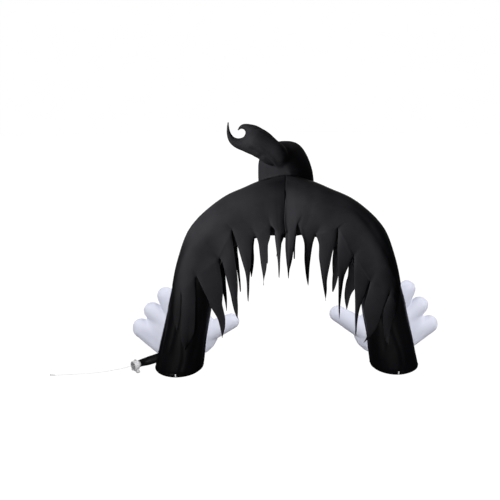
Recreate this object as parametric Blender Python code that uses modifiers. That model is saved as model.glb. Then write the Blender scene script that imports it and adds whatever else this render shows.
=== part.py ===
# An inflatable archway cut as a hooded, ragged cloak, with two outsize hands at its feet.
# Metres, +Z up. The arch spans X and is walked through along Y; its back faces -Y.
# Everything is worked out about the arch's own middle plane, and one empty then moves it
# so that the origin lies on the ground under the middle of the whole object.

import math

import bmesh
import bpy
from mathutils import Matrix, Vector

# Driving sizes.
PLANE_Y = -0.0780  # the arch's middle plane, from the origin
SEAT_GAP = 0.0004  # between two pieces that are sewn or fitted together
TUBE_SIDES = 24
HALF_STATIONS = 23  # rings from the crown to one foot
CAPE_STATIONS = 14  # of which carry the cape
SEAM_INDEX = 5  # the ring corner that the cape's top seam runs along, 75 degrees up

# The tube's middle line, from the crown to one foot, and its radius there.
ARCH_ROWS = (
    # x, z, radius
    (0.000, 2.046, 0.372),
    (0.204, 2.029, 0.330),
    (0.406, 1.973, 0.300),
    (0.622, 1.893, 0.285),
    (0.803, 1.775, 0.270),
    (0.907, 1.681, 0.260),
    (0.964, 1.602, 0.255),
    (1.021, 1.469, 0.252),
    (1.093, 1.244, 0.252),
    (1.146, 1.002, 0.252),
    (1.193, 0.732, 0.254),
    (1.258, 0.452, 0.262),
    (1.308, 0.202, 0.277),
    (1.352, 0.000, 0.292),
)
LEVEL_BELOW = 0.30  # below this height the rings turn level, for a flat foot
FOOT_ROWS = (
    # height, share of the foot's radius
    (0.040, 1.005),
    (0.013, 0.980),
    (0.000, 0.925),
)
GROUND_REACH = 2.5

# The cape: four halves of one pattern, two behind and two in front.
CLOTH = 0.003
CLOTH_CLEAR = 0.008
SEAM_LIFT = (0.0006, 0.0015)  # how far the two seam rows stand off the tube
HALF_SEAM = (0.0006, 0.0024)  # each half stops this far from the centre seam, at its top and foot
CENTRE_NOTCH = (0.030, 1.800)  # how far left of the middle, and how high, the centre slit starts
PANEL_ROWS = 6
STRIP_COLUMNS = 4
STRIP_ROWS = 6
STRIP_TIP = 0.007
STRIP_WAVE = (0.006, 7.5)  # how far a strip's edges wander, and the turn in radians over its length
STAND_KEPT = 0.45  # of a strip's standing out, what is left at its tip
TIP_SWAY = 0.012
PATH_STEPS = 40
# Strips from the centre seam outwards: where each ends, the notch on its outer side,
# how full it is below the notches and how far its middle stands out.
RIGHT_STRIPS = (
    # tip x, tip z behind, tip z in front, notch x, notch z behind, notch z in front, full, stand, taper
    (0.008, 1.283, 1.330, 0.119, 1.908, 1.908, 0.022, 0.030, 1.8),
    (0.233, 1.190, 1.255, 0.318, 1.775, 1.775, 0.022, 0.022, 1.8),
    (0.444, 0.982, 1.085, 0.571, 1.849, 1.849, 0.026, 0.034, 1.8),
    (0.613, 0.754, 0.900, 0.766, 1.521, 1.560, 0.020, 0.026, 1.8),
    (0.815, 0.550, 0.650, 0.974, 1.210, 1.290, 0.024, 0.030, 1.8),
    (0.935, 0.448, 1.110, 1.180, 0.945, 1.200, 0.020, 0.020, 1.1),
    (1.208, 0.430, 1.075, 1.335, 0.905, 1.105, 0.024, 0.012, 1.5),
)
LEFT_STRIPS = (
    # tip x, tip z behind, tip z in front, notch x, notch z behind, notch z in front, full, stand, taper
    (0.101, 1.281, 1.305, 0.190, 1.888, 1.888, 0.020, 0.024, 1.8),
    (0.278, 1.185, 1.245, 0.359, 1.766, 1.766, 0.024, 0.028, 1.8),
    (0.457, 0.991, 1.080, 0.631, 1.854, 1.854, 0.024, 0.032, 1.8),
    (0.586, 0.775, 0.890, 0.787, 1.507, 1.550, 0.024, 0.034, 1.8),
    (0.775, 0.546, 0.645, 1.054, 1.286, 1.310, 0.030, 0.030, 1.8),
    (1.233, 0.368, 1.120, 1.280, 1.010, 1.210, 0.020, 0.018, 0.5),
    (1.315, 0.600, 1.085, 1.350, 0.930, 1.105, 0.018, 0.010, 1.5),
)

# The hood: a dome over the crown, its long point folded back and curling into two prongs.
DOME_ROWS = (
    # height, half-width on the right, on the left, half-depth
    (2.030, 0.330, 0.326, 0.190),
    (2.240, 0.334, 0.330, 0.192),
    (2.320, 0.332, 0.330, 0.192),
    (2.456, 0.311, 0.328, 0.190),
    (2.544, 0.284, 0.322, 0.183),
    (2.641, 0.239, 0.292, 0.168),
    (2.721, 0.184, 0.228, 0.140),
    (2.768, 0.122, 0.145, 0.100),
    (2.788, 0.055, 0.060, 0.048),
)
DOME_X = -0.008
DOME_Y = 0.180
DOME_SIDES = 28
HOOD_OVER_CAPE = 0.032
CROWN_BAND = 0.070  # half the width of the bare tube between the two capes' seams
TAIL_Y = 0.000
TAIL_ROWS = (
    # x, z, radius
    (-0.178, 2.651, 0.148),
    (-0.255, 2.728, 0.160),
    (-0.342, 2.796, 0.155),
)
LONG_PRONG_ROWS = (
    # x, z, radius
    (-0.337, 2.743, 0.120),
    (-0.408, 2.755, 0.104),
    (-0.479, 2.766, 0.084),
    (-0.556, 2.776, 0.059),
    (-0.618, 2.810, 0.043),
    (-0.653, 2.870, 0.029),
    (-0.664, 2.939, 0.016),
    (-0.662, 3.002, 0.004),
)
SHORT_PRONG_ROWS = (
    # x, z, radius
    (-0.326, 2.851, 0.100),
    (-0.393, 2.909, 0.080),
    (-0.449, 2.949, 0.046),
    (-0.496, 2.959, 0.026),
    (-0.526, 2.946, 0.014),
    (-0.546, 2.928, 0.004),
)

# The hands: filled palms standing on their heels in front of the legs.
HAND_Y = 0.405
HAND_DEPTH = 0.92  # of a finger, against its width
PALM_CENTRE = (1.395, 0.300)
PALM_HALF = (0.505, 0.150, 0.385)
LEFT_FINGERS = (
    # root x, root z, tip x, tip z, root radius, tip radius
    (1.520, 0.190, 1.895, 0.387, 0.140, 0.115),
    (1.450, 0.300, 1.735, 0.605, 0.145, 0.119),
    (1.370, 0.370, 1.552, 0.812, 0.145, 0.119),
    (1.270, 0.380, 1.315, 0.832, 0.140, 0.113),
    (1.160, 0.240, 0.722, 0.452, 0.145, 0.107),
)
RIGHT_FINGERS = (
    # root x, root z, tip x, tip z, root radius, tip radius
    (1.520, 0.195, 1.895, 0.394, 0.140, 0.115),
    (1.450, 0.310, 1.752, 0.652, 0.145, 0.119),
    (1.370, 0.380, 1.568, 0.877, 0.145, 0.119),
    (1.270, 0.390, 1.325, 0.852, 0.140, 0.113),
    (1.150, 0.240, 0.680, 0.544, 0.145, 0.113),
)

# The fan beside the left leg, its air sleeve and its cord.
FAN_CENTRE = (-1.882, -0.090, 0.082)
FAN_TURN = math.radians(46.0)  # the way the air leaves, from +X
DRUM_RADIUS = 0.062
DRUM_HALF = 0.031
COLLAR_RADIUS = 0.040
COLLAR_LONG = 0.025
STAND_HALF_WIDTH = 0.070
STAND_HALF_DEEP = 0.018
STAND_FOOT = 0.010
KNOB_RADIUS = 0.008
KNOB_HIGH = 0.015
GLAND_LONG = 0.030
GLAND_DROP = math.radians(24.0)
SLEEVE_ROWS = (
    # x, y, z, radius
    (-1.806, -0.014, 0.080, 0.047),
    (-1.762, 0.010, 0.084, 0.052),
    (-1.697, 0.012, 0.104, 0.054),
    (-1.628, 0.000, 0.131, 0.054),
    (-1.500, -0.012, 0.165, 0.054),
)
CORD_RADIUS = 0.003
CORD_FLOOR = 0.0035
CORD_ROUTE = (
    # x, y, z
    (-1.990, -0.008, 0.0210),
    (-2.055, -0.024, 0.0095),
    (-2.118, -0.040, CORD_FLOOR),
    (-2.180, -0.063, CORD_FLOOR),
    (-2.242, -0.088, CORD_FLOOR),
    (-2.368, -0.124, CORD_FLOOR),
    (-2.498, -0.147, CORD_FLOOR),
    (-2.629, -0.159, CORD_FLOOR),
    (-2.759, -0.171, CORD_FLOOR),
    (-2.842, -0.178, CORD_FLOOR),
)
CORD_POINTS = 46
PLUG_BODY = (0.040, 0.026, 0.020)
PLUG_BLADE = (0.018, 0.0016, 0.0065)
PLUG_BLADE_APART = 0.0127

# The small webbing tab at the back of each foot.
TAB_WIDE = 0.022
TAB_HIGH = 0.040
TAB_LOW = 0.018
TAB_OFF = 0.004  # from the foot's middle, and out behind its back


def clear_scene():
    for obj in list(bpy.data.objects):
        bpy.data.objects.remove(obj, do_unlink=True)


def new_collection(name):
    collection = bpy.data.collections.new(name)
    bpy.context.scene.collection.children.link(collection)
    return collection


def new_material(name, colour, roughness, metallic=0.0):
    material = bpy.data.materials.new(name)
    material.use_nodes = True
    shader = material.node_tree.nodes["Principled BSDF"]
    shader.inputs["Base Color"].default_value = (*colour, 1.0)
    shader.inputs["Roughness"].default_value = roughness
    shader.inputs["Metallic"].default_value = metallic
    return material


def add_object(name, data, material, collection, parent):
    obj = bpy.data.objects.new(name, data)
    collection.objects.link(obj)
    obj.parent = parent
    if material:
        data.materials.append(material)
    return obj


def finish_mesh(bm, name):
    mesh = bpy.data.meshes.new(name)
    bm.to_mesh(mesh)
    bm.free()
    mesh.shade_smooth()
    mesh.set_sharp_from_angle(angle=math.radians(40))
    return mesh


def through_rows(rows, steps):
    """Rows on a smooth curve through the given rows, with this many steps to each span."""
    made = []
    last = len(rows) - 1
    for i in range(last):
        before = rows[max(i - 1, 0)]
        after = rows[min(i + 2, last)]
        for k in range(steps):
            t = k / steps
            row = []
            for a, b, c, d in zip(before, rows[i], rows[i + 1], after):
                bend = (2 * a - 5 * b + 4 * c - d) * t * t + (3 * b - a - 3 * c + d) * t**3
                row.append(b + 0.5 * ((c - a) * t + bend))
            made.append(tuple(row))
    made.append(tuple(rows[last]))
    return made


def evenly(rows, count, axes):
    """count + 1 rows, evenly spaced by the distance along the given columns."""
    along = [0.0]
    for a, b in zip(rows, rows[1:]):
        along.append(along[-1] + math.dist([a[k] for k in axes], [b[k] for k in axes]))
    made = []
    at = 0
    for n in range(count + 1):
        want = along[-1] * n / count
        while at < len(rows) - 2 and along[at + 1] < want:
            at += 1
        share = (want - along[at]) / max(along[at + 1] - along[at], 1e-9)
        made.append(tuple(a + (b - a) * share for a, b in zip(rows[at], rows[at + 1])))
    return made


def half_arch():
    """The tube's rings from the crown to the foot: centre x and z, radius, and the outward normal."""
    mirrored = ((-ARCH_ROWS[1][0], *ARCH_ROWS[1][1:]), *ARCH_ROWS)
    fine = through_rows(mirrored, 12)[12:]
    rows = evenly(fine, HALF_STATIONS, (0, 1))
    rings = []
    for i, (x, z, radius) in enumerate(rows):
        ahead = rows[min(i + 1, HALF_STATIONS)]
        behind = rows[max(i - 1, 0)]
        slope = Vector((ahead[0] - behind[0], ahead[1] - behind[1]))
        if i == 0:
            slope = Vector((1.0, 0.0))
        level = min(max((LEVEL_BELOW - z) / LEVEL_BELOW, 0.0), 1.0)
        slope = slope.normalized().lerp(Vector((0.0, -1.0)), level).normalized()
        rings.append((x, z, radius, Vector((-slope.y, slope.x))))
    return rings


HALF_RINGS = half_arch()


def ring_corner(ring, corner, out=0.0, side=1):
    """A corner of a ring: corner 0 is the back, and corners rise towards the outside."""
    x, z, radius, normal = ring
    angle = 2 * math.pi * corner / TUBE_SIDES
    reach = radius + out
    away = reach * math.sin(angle)
    return Vector((side * (x + away * normal.x), -reach * math.cos(angle), z + away * normal.y))


def loft(rings):
    """A closed solid through rings of the same number of points."""
    bm = bmesh.new()
    loops = [[bm.verts.new(point) for point in ring] for ring in rings]
    for low, high in zip(loops, loops[1:]):
        count = len(low)
        for k in range(count):
            n = (k + 1) % count
            bm.faces.new((low[k], low[n], high[n], high[k]))
    bm.faces.new(loops[0][::-1])
    bm.faces.new(loops[-1])
    bmesh.ops.recalc_face_normals(bm, faces=bm.faces)
    return bm


def arch_rings(out=0.0):
    """The whole tube's rings from the left foot to the right foot."""
    half = list(HALF_RINGS[:-1])
    x, _, radius, _ = HALF_RINGS[-1]
    lean = (x - HALF_RINGS[-2][0]) / (HALF_RINGS[-2][1] - HALF_RINGS[-1][1])
    for height, share in FOOT_ROWS:
        half.append((x - lean * height, height, radius * share, Vector((1.0, 0.0))))
    rings = []
    for side, part in ((-1, half[::-1]), (1, half[1:])):
        for ring in part:
            corners = [ring_corner(ring, k, out, side) for k in range(TUBE_SIDES)]
            rings.append(corners)
    return rings


def tube_depth(x, z):
    """How far the tube's back stands from its middle plane, in front of the point (x, z)."""
    best = 0.0
    point = Vector((abs(x), z))
    for a, b in zip(HALF_RINGS, HALF_RINGS[1:]):
        start = Vector(a[:2])
        run = Vector(b[:2]) - start
        share = min(max((point - start).dot(run) / run.length_squared, 0.0), 1.0)
        radius = a[2] + (b[2] - a[2]) * share
        off = (point - start - run * share).length
        if off < radius:
            best = max(best, math.sqrt(radius * radius - off * off))
    return best


def seam_point(column, corner, lift):
    """A point on the tube's own corner line, lifted off it; two columns to each ring."""
    ring = column / (len(RIGHT_STRIPS) * STRIP_COLUMNS) * CAPE_STATIONS
    low = min(int(ring), CAPE_STATIONS - 1)
    a = ring_corner(HALF_RINGS[low], corner, lift)
    b = ring_corner(HALF_RINGS[low + 1], corner, lift)
    return a.lerp(b, ring - low)


def strip_edges(inner, outer, tip, full, taper, v, turn, at_seam):
    """The two edges of a strip, the share v of the way from its notches to its tip."""
    narrow = (1 - v) ** taper
    belly = full * math.sin(math.pi * v)
    wave = STRIP_WAVE[0] * math.sin(STRIP_WAVE[1] * v + turn) * math.sin(math.pi * v)
    end = STRIP_TIP / 2 * v
    near = 0.0 if at_seam else wave - belly
    a = (tip[0] + (inner[0] - tip[0]) * narrow - end + near, inner[1] + (tip[1] - inner[1]) * v)
    b = (tip[0] + (outer[0] - tip[0]) * narrow + end + belly + wave, outer[1] + (tip[1] - outer[1]) * v)
    return a, b


def hang(points, stands, start):
    """Gives each point of a column its depth: it lies on the tube, then falls straight."""
    out = start
    made = []
    for (x, z), stand in zip(points, stands):
        out = max(out, tube_depth(x, z) + CLOTH_CLEAR)
        made.append(Vector((x, -(out + stand), z)))
    return made


def cape_half(strips, centre_x, front, side):
    """One half of a cape, on the +X side and the back, before it is turned to its place."""
    tip_z = 2 if front else 1
    notch_z = 5 if front else 4
    sheet = bmesh.new()
    corners = {}
    inner = (centre_x, CENTRE_NOTCH[1])
    column = 0
    for n, row in enumerate(strips):
        outer = (row[3], row[notch_z])
        tip = (row[0], row[tip_z])
        for k in range(STRIP_COLUMNS + 1):
            u = k / STRIP_COLUMNS
            at = column + k
            arch = 4 * u * (1 - u)
            top = [seam_point(at, SEAM_INDEX, SEAM_LIFT[0]), seam_point(at, SEAM_INDEX - 1, SEAM_LIFT[1])]
            low = (inner[0] + (outer[0] - inner[0]) * u, inner[1] + (outer[1] - inner[1]) * u)
            path = []
            for s in range(PATH_STEPS + 1):
                share = s / PATH_STEPS
                path.append((top[1].x + (low[0] - top[1].x) * share, top[1].z + (low[1] - top[1].z) * share))
            depth = [tube_depth(*p) for p in path]
            for s in range(1, PATH_STEPS + 1):
                depth[s] = max(depth[s], depth[s - 1])
            solid = [(p[0], d, p[1]) for p, d in zip(path, depth)]
            rows = [(r[0], r[2]) for r in evenly(solid, PANEL_ROWS, (0, 1, 2))[1:]]
            stands = [row[7] * arch * (s / PANEL_ROWS) ** 2 for s in range(1, PANEL_ROWS + 1)]
            for s in range(1, STRIP_ROWS + 1):
                v = s / STRIP_ROWS
                a, b = strip_edges(inner, outer, tip, row[6], row[8], v, 2.1 * n + side, n == 0)
                rows.append((a[0] + (b[0] - a[0]) * u, a[1] + (b[1] - a[1]) * u))
                kept = 1 - (1 - STAND_KEPT) * v
                stands.append(row[7] * arch * kept + TIP_SWAY * v * math.sin(1.7 * n + side))
            line = top + hang(rows, [max(s, 0.0) for s in stands], -top[1].y)
            for r, point in enumerate(line):
                shared = at if r < PANEL_ROWS + 2 else (at, n)
                if (r, shared) not in corners:
                    moved = Vector(point)
                    if at == 0 and r < PANEL_ROWS + 2:
                        share = r / (PANEL_ROWS + 1)
                        moved.x += HALF_SEAM[0] + (HALF_SEAM[1] - HALF_SEAM[0]) * share
                    corners[(r, shared)] = sheet.verts.new(moved)
        column += STRIP_COLUMNS
        inner = outer
    total = PANEL_ROWS + 2 + STRIP_ROWS
    for n in range(len(strips)):
        for k in range(STRIP_COLUMNS):
            at = n * STRIP_COLUMNS + k
            for r in range(total - 1):
                keys = []
                for dr, dk in ((0, 0), (0, 1), (1, 1), (1, 0)):
                    shared = at + dk if r + dr < PANEL_ROWS + 2 else (at + dk, n)
                    keys.append(corners[(r + dr, shared)])
                sheet.faces.new(keys)
    return sheet


def add_cape(name, strips, centre_x, front, side, material, collection, parent):
    sheet = cape_half(strips, centre_x, front, side)
    if side < 0:
        bmesh.ops.scale(sheet, vec=(-1, 1, 1), verts=sheet.verts)
    if front:
        bmesh.ops.scale(sheet, vec=(1, -1, 1), verts=sheet.verts)
    outward = 1 if front else -1
    bmesh.ops.recalc_face_normals(sheet, faces=sheet.faces)
    sheet.normal_update()
    if sum(face.normal.y for face in sheet.faces) * outward < 0:
        bmesh.ops.reverse_faces(sheet, faces=sheet.faces)
    obj = add_object(name, finish_mesh(sheet, name), material, collection, parent)
    thick = obj.modifiers.new("Cloth", "SOLIDIFY")
    thick.thickness = CLOTH
    thick.offset = 1.0
    return obj


def tapered_tube(name, rows, sides, material, collection, parent, steps=2, ends=(True, True), lead=()):
    """A filled tube through rows of x, y, z and radius, made a mesh; its ends can be round."""
    points = [*lead, *through_rows(rows, steps)]
    for at_end, wanted in ((0, ends[0]), (-1, ends[1])):
        if not wanted:
            continue
        end = points[at_end]
        away = (Vector(end[:3]) - Vector(points[1 if at_end == 0 else -2][:3])).normalized()
        cap = []
        for share in (0.45, 0.80, 0.97):
            place = Vector(end[:3]) + away * end[3] * share
            cap.append((*place, end[3] * math.sqrt(1 - share * share)))
        points = cap[::-1] + points if at_end == 0 else points + cap
    curve = bpy.data.curves.new(name, "CURVE")
    curve.dimensions = "3D"
    curve.bevel_depth = 1.0
    curve.bevel_resolution = sides // 2 - 2
    curve.use_fill_caps = True
    curve.twist_mode = "MINIMUM"
    spline = curve.splines.new("POLY")
    spline.points.add(len(points) - 1)
    for point, row in zip(spline.points, points):
        point.co = (*row[:3], 1.0)
        point.radius = row[3]
    return curve_to_mesh(add_object(name, curve, material, collection, parent))


def curve_to_mesh(obj):
    """Swaps a curve object for a mesh one of the same name, its caps welded on."""
    bpy.context.view_layer.update()
    graph = bpy.context.evaluated_depsgraph_get()
    mesh = bpy.data.meshes.new_from_object(obj.evaluated_get(graph))
    bm = bmesh.new()
    bm.from_mesh(mesh)
    bmesh.ops.remove_doubles(bm, verts=bm.verts, dist=0.00001)
    bmesh.ops.recalc_face_normals(bm, faces=bm.faces)
    bm.to_mesh(mesh)
    bm.free()
    name, parent = obj.name, obj.parent
    place = obj.matrix_world.copy()
    collection = obj.users_collection[0]
    bpy.data.objects.remove(obj, do_unlink=True)
    solid = bpy.data.objects.new(name, mesh)
    collection.objects.link(solid)
    solid.parent = parent
    solid.matrix_world = place
    return solid


def as_cutter(obj):
    obj.hide_render = True
    obj.display_type = "WIRE"
    return obj


def cut(obj, tool, operation="DIFFERENCE"):
    modifier = obj.modifiers.new(operation.title(), "BOOLEAN")
    modifier.operation = operation
    modifier.solver = "EXACT"
    modifier.object = tool
    return modifier


def box(name, low, high, material, collection, parent):
    bm = bmesh.new()
    bmesh.ops.create_cube(bm, size=1.0)
    size = [b - a for a, b in zip(low, high)]
    middle = [(a + b) / 2 for a, b in zip(low, high)]
    bmesh.ops.scale(bm, vec=size, verts=bm.verts)
    bmesh.ops.translate(bm, vec=middle, verts=bm.verts)
    return add_object(name, finish_mesh(bm, name), material, collection, parent)


def turned(name, profile, steps, material, collection, parent):
    """A profile of radius and height, turned about its own Z."""
    bm = bmesh.new()
    points = [bm.verts.new((radius, 0.0, height)) for radius, height in profile]
    for a, b in zip(points, points[1:]):
        bm.edges.new((a, b))
    obj = add_object(name, finish_mesh(bm, name), material, collection, parent)
    screw = obj.modifiers.new("Turn", "SCREW")
    screw.axis = "Z"
    screw.steps = steps
    screw.render_steps = steps
    screw.use_merge_vertices = True
    screw.merge_threshold = 0.00001
    return obj


def add_hood(material, collection, cutters, parent, tube_tool):
    """The dome and its folded point are one inflated piece."""
    rings = []
    for height, right, left, deep in DOME_ROWS:
        ring = []
        for k in range(DOME_SIDES):
            angle = 2 * math.pi * k / DOME_SIDES
            wide = right if math.cos(angle) > 0 else left
            ring.append((DOME_X + wide * math.cos(angle), DOME_Y + deep * math.sin(angle), height))
        rings.append(ring)
    dome = add_object("hood", finish_mesh(loft(rings), "hood"), material, collection, parent)
    for name, rows, sides, steps in (
        ("tail", TAIL_ROWS, 18, 2),
        ("long_prong", LONG_PRONG_ROWS, 12, 2),
        ("short_prong", SHORT_PRONG_ROWS, 12, 2),
    ):
        placed = [(x, TAIL_Y, z, radius) for x, z, radius in rows]
        tube = tapered_tube(name + "_form", placed, sides, None, cutters, parent, steps)
        cut(dome, as_cutter(tube), "UNION")
    over = add_object("over_cape", finish_mesh(loft(arch_rings(HOOD_OVER_CAPE)), "over_cape"), None, cutters, parent)
    band = box("crown_band", (-0.6, -CROWN_BAND, 1.5), (0.6, CROWN_BAND, 3.0), None, cutters, parent)
    cut(as_cutter(over), as_cutter(band))
    cut(dome, tube_tool)
    cut(dome, over)
    return dome


def add_hand(name, fingers, side, material, collection, cutters, parent, tube_tool):
    """A palm and five fingers, filled as one piece, cut level with the ground."""
    bm = bmesh.new()
    bmesh.ops.create_uvsphere(bm, u_segments=20, v_segments=12, radius=1.0)
    bmesh.ops.scale(bm, vec=PALM_HALF, verts=bm.verts)
    bmesh.ops.translate(bm, vec=(side * PALM_CENTRE[0], HAND_Y, PALM_CENTRE[1]), verts=bm.verts)
    hand = add_object(name, finish_mesh(bm, name), material, collection, parent)
    for n, (root_x, root_z, tip_x, tip_z, root, tip) in enumerate(fingers):
        middle = ((root_x + tip_x) / 2, (root_z + tip_z) / 2, (root + tip) / 2 + 0.002)
        rows = [
            (side * root_x, 0.0, root_z, root),
            (side * middle[0], 0.0, middle[1], middle[2]),
            (side * tip_x, 0.0, tip_z, tip),
        ]
        finger = tapered_tube(f"{name}_form_{n}", rows, 16, None, cutters, parent, 1)
        for vertex in finger.data.vertices:
            vertex.co.y = vertex.co.y * HAND_DEPTH + HAND_Y
        cut(hand, as_cutter(finger), "UNION")
    ground = box(name + "_ground", (-GROUND_REACH, 0.0, -1.0), (GROUND_REACH, 1.0, 0.0), None, cutters, parent)
    cut(hand, as_cutter(ground))
    cut(hand, tube_tool)
    return hand


def add_foot_tab(name, side, material, collection, parent, tube_tool):
    x, _, radius, _ = HALF_RINGS[-1]
    middle = side * (x + TAB_OFF)
    low = (middle - TAB_WIDE / 2, -radius - TAB_OFF, TAB_LOW)
    high = (middle + TAB_WIDE / 2, -radius / 2, TAB_LOW + TAB_HIGH)
    tab = box(name, low, high, material, collection, parent)
    cut(tab, tube_tool)
    return tab


def on_axis(obj, reach, turn=math.pi / 2):
    """Lays a turned piece along the fan's axis, with its own Z towards the air's way out."""
    obj.rotation_euler = (0.0, turn, 0.0)
    obj.location = (reach, 0.0, 0.0)
    return obj


def add_stand(material, collection, parent):
    """A bent plastic foot: a saddle under the drum, two splayed legs and flat pads."""
    saddle = DRUM_RADIUS + SEAT_GAP
    floor = -FAN_CENTRE[2]
    arc = []
    for k in range(9):
        angle = math.radians(-140 + 100 * k / 8)
        arc.append((saddle * math.cos(angle), saddle * math.sin(angle)))
    inner = 0.030
    outline = arc + [
        (0.060, -0.052),
        (STAND_HALF_WIDTH, floor + STAND_FOOT),
        (STAND_HALF_WIDTH, floor),
        (STAND_HALF_WIDTH - 0.030, floor),
        (inner, -0.074),
        (-inner, -0.074),
        (-STAND_HALF_WIDTH + 0.030, floor),
        (-STAND_HALF_WIDTH, floor),
        (-STAND_HALF_WIDTH, floor + STAND_FOOT),
        (-0.060, -0.052),
    ]
    curve = bpy.data.curves.new("fan_stand", "CURVE")
    curve.dimensions = "2D"
    curve.fill_mode = "BOTH"
    curve.extrude = STAND_HALF_DEEP
    spline = curve.splines.new("POLY")
    spline.points.add(len(outline) - 1)
    for point, (x, y) in zip(spline.points, outline):
        point.co = (x, y, 0.0, 1.0)
    spline.use_cyclic_u = True
    stand = add_object("fan_stand", curve, material, collection, parent)
    stand.rotation_euler = (math.pi / 2, 0.0, math.pi / 2)
    return stand


def add_fan(materials, collection, parent):
    shell, dark = materials["pale_plastic"], materials["dark_plastic"]
    fan = bpy.data.objects.new("fan_frame", None)
    collection.objects.link(fan)
    fan.parent = parent
    fan.location = FAN_CENTRE
    fan.rotation_euler = (0.0, 0.0, FAN_TURN)
    radius, half = DRUM_RADIUS, DRUM_HALF
    drum = ((0, half), (radius - 0.010, half), (radius - 0.003, half - 0.003), (radius, half - 0.010),
            (radius, 0.010 - half), (radius - 0.003, 0.003 - half), (radius - 0.010, -half), (0, -half))
    on_axis(turned("fan_drum", drum, 28, shell, collection, fan), 0.0)
    ribs = [(0.0, 0.0060), (0.012, 0.0060), (0.014, 0.0030)]
    for at in (0.022, 0.034):
        ribs += [(at, 0.0030), (at + 0.001, 0.0055), (at + 0.004, 0.0055), (at + 0.005, 0.0030)]
    ribs += [(0.047, 0.0030), (0.0475, 0.0060), (0.0505, 0.0060), (0.0515, 0.0040), (0.0515, 0.0), (0.0, 0.0)]
    on_axis(turned("intake_grille", ribs, 20, dark, collection, fan), -half - SEAT_GAP, -math.pi / 2)
    collar = ((0, COLLAR_LONG), (COLLAR_RADIUS - 0.002, COLLAR_LONG), (COLLAR_RADIUS, COLLAR_LONG - 0.002),
              (COLLAR_RADIUS, 0.004), (COLLAR_RADIUS + 0.005, 0.003), (COLLAR_RADIUS + 0.005, 0), (0, 0))
    on_axis(turned("outlet_collar", collar, 24, dark, collection, fan), half + SEAT_GAP)
    add_stand(dark, collection, fan)
    knob = ((0, KNOB_HIGH), (KNOB_RADIUS * 0.8, KNOB_HIGH), (KNOB_RADIUS, KNOB_HIGH - 0.002),
            (KNOB_RADIUS, 0.004), (KNOB_RADIUS * 0.7, 0.003), (KNOB_RADIUS * 0.7, 0), (0, 0))
    top = turned("top_knob", knob, 12, dark, collection, fan)
    top.location = (0.0, 0.0, radius + SEAT_GAP)
    gland = ((0, GLAND_LONG), (0.0045, GLAND_LONG), (0.0050, GLAND_LONG - 0.002), (0.0072, 0.006),
             (0.0085, 0.005), (0.0085, 0), (0, 0))
    relief = turned("cord_relief", gland, 12, shell, collection, fan)
    relief.rotation_euler = (-math.pi / 2 - GLAND_DROP, 0.0, 0.0)
    away = Vector((0.0, math.cos(GLAND_DROP), -math.sin(GLAND_DROP)))
    relief.location = away * (radius + SEAT_GAP)
    return fan


def fan_point(local):
    """A point of the fan's own frame, about the arch's middle plane."""
    return Vector(FAN_CENTRE) + Matrix.Rotation(FAN_TURN, 3, "Z") @ Vector(local)


def add_sleeve(material, collection, parent, tube_tool):
    start = DRUM_HALF + 2 * SEAT_GAP + COLLAR_LONG
    lead = [(*fan_point((start, 0, 0)), COLLAR_RADIUS)]
    rows = [(*fan_point((start + 0.014, 0, 0)), COLLAR_RADIUS + 0.003), *SLEEVE_ROWS]
    sleeve = tapered_tube("air_sleeve", rows, 16, material, collection, parent, 2, (False, False), lead)
    cut(sleeve, tube_tool)
    return sleeve


def cord_points():
    """Evenly spaced points on one smooth curve from the strain relief to the plug."""
    away = Vector((0.0, math.cos(GLAND_DROP), -math.sin(GLAND_DROP)))
    reach = DRUM_RADIUS + SEAT_GAP + GLAND_LONG
    first = fan_point(away * (reach + SEAT_GAP))
    second = fan_point(away * (reach + 0.018))
    rows = [tuple(first), tuple(second), *CORD_ROUTE]
    return evenly(through_rows(rows, 10), CORD_POINTS, (0, 1, 2))


def add_cord(material, collection, parent):
    points = cord_points()
    curve = bpy.data.curves.new("power_cord", "CURVE")
    curve.dimensions = "3D"
    curve.bevel_depth = CORD_RADIUS
    curve.bevel_resolution = 2
    curve.use_fill_caps = True
    spline = curve.splines.new("POLY")
    spline.points.add(len(points) - 1)
    for point, place in zip(spline.points, points):
        point.co = (*place, 1.0)
    add_object("power_cord", curve, material, collection, parent)
    return points


def add_plug(points, material, collection, cutters, parent):
    """A moulded plug with two flat blades, lying in line with the cord's end."""
    end = Vector(points[-1])
    along = (end - Vector(points[-2])).normalized()
    long, wide, high = PLUG_BODY
    plug = box("plug", (0, -wide / 2, -high / 2), (long, wide / 2, high / 2), material, collection, parent)
    bevel = plug.modifiers.new("Round", "BEVEL")
    bevel.width = 0.005
    bevel.segments = 2
    blade_long, blade_thick, blade_high = PLUG_BLADE
    for side in (-1, 1):
        middle = side * PLUG_BLADE_APART / 2
        low = (long - 0.004, middle - blade_thick / 2, -blade_high / 2)
        high_corner = (long + blade_long, middle + blade_thick / 2, blade_high / 2)
        blade = box(f"blade_{side}", low, high_corner, None, cutters, plug)
        cut(plug, as_cutter(blade), "UNION")
    plug.location = (end.x + along.x * SEAT_GAP, end.y + along.y * SEAT_GAP, high / 2 + 0.0003)
    plug.rotation_euler = (0.0, 0.0, math.atan2(along.y, along.x))
    return plug


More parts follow.
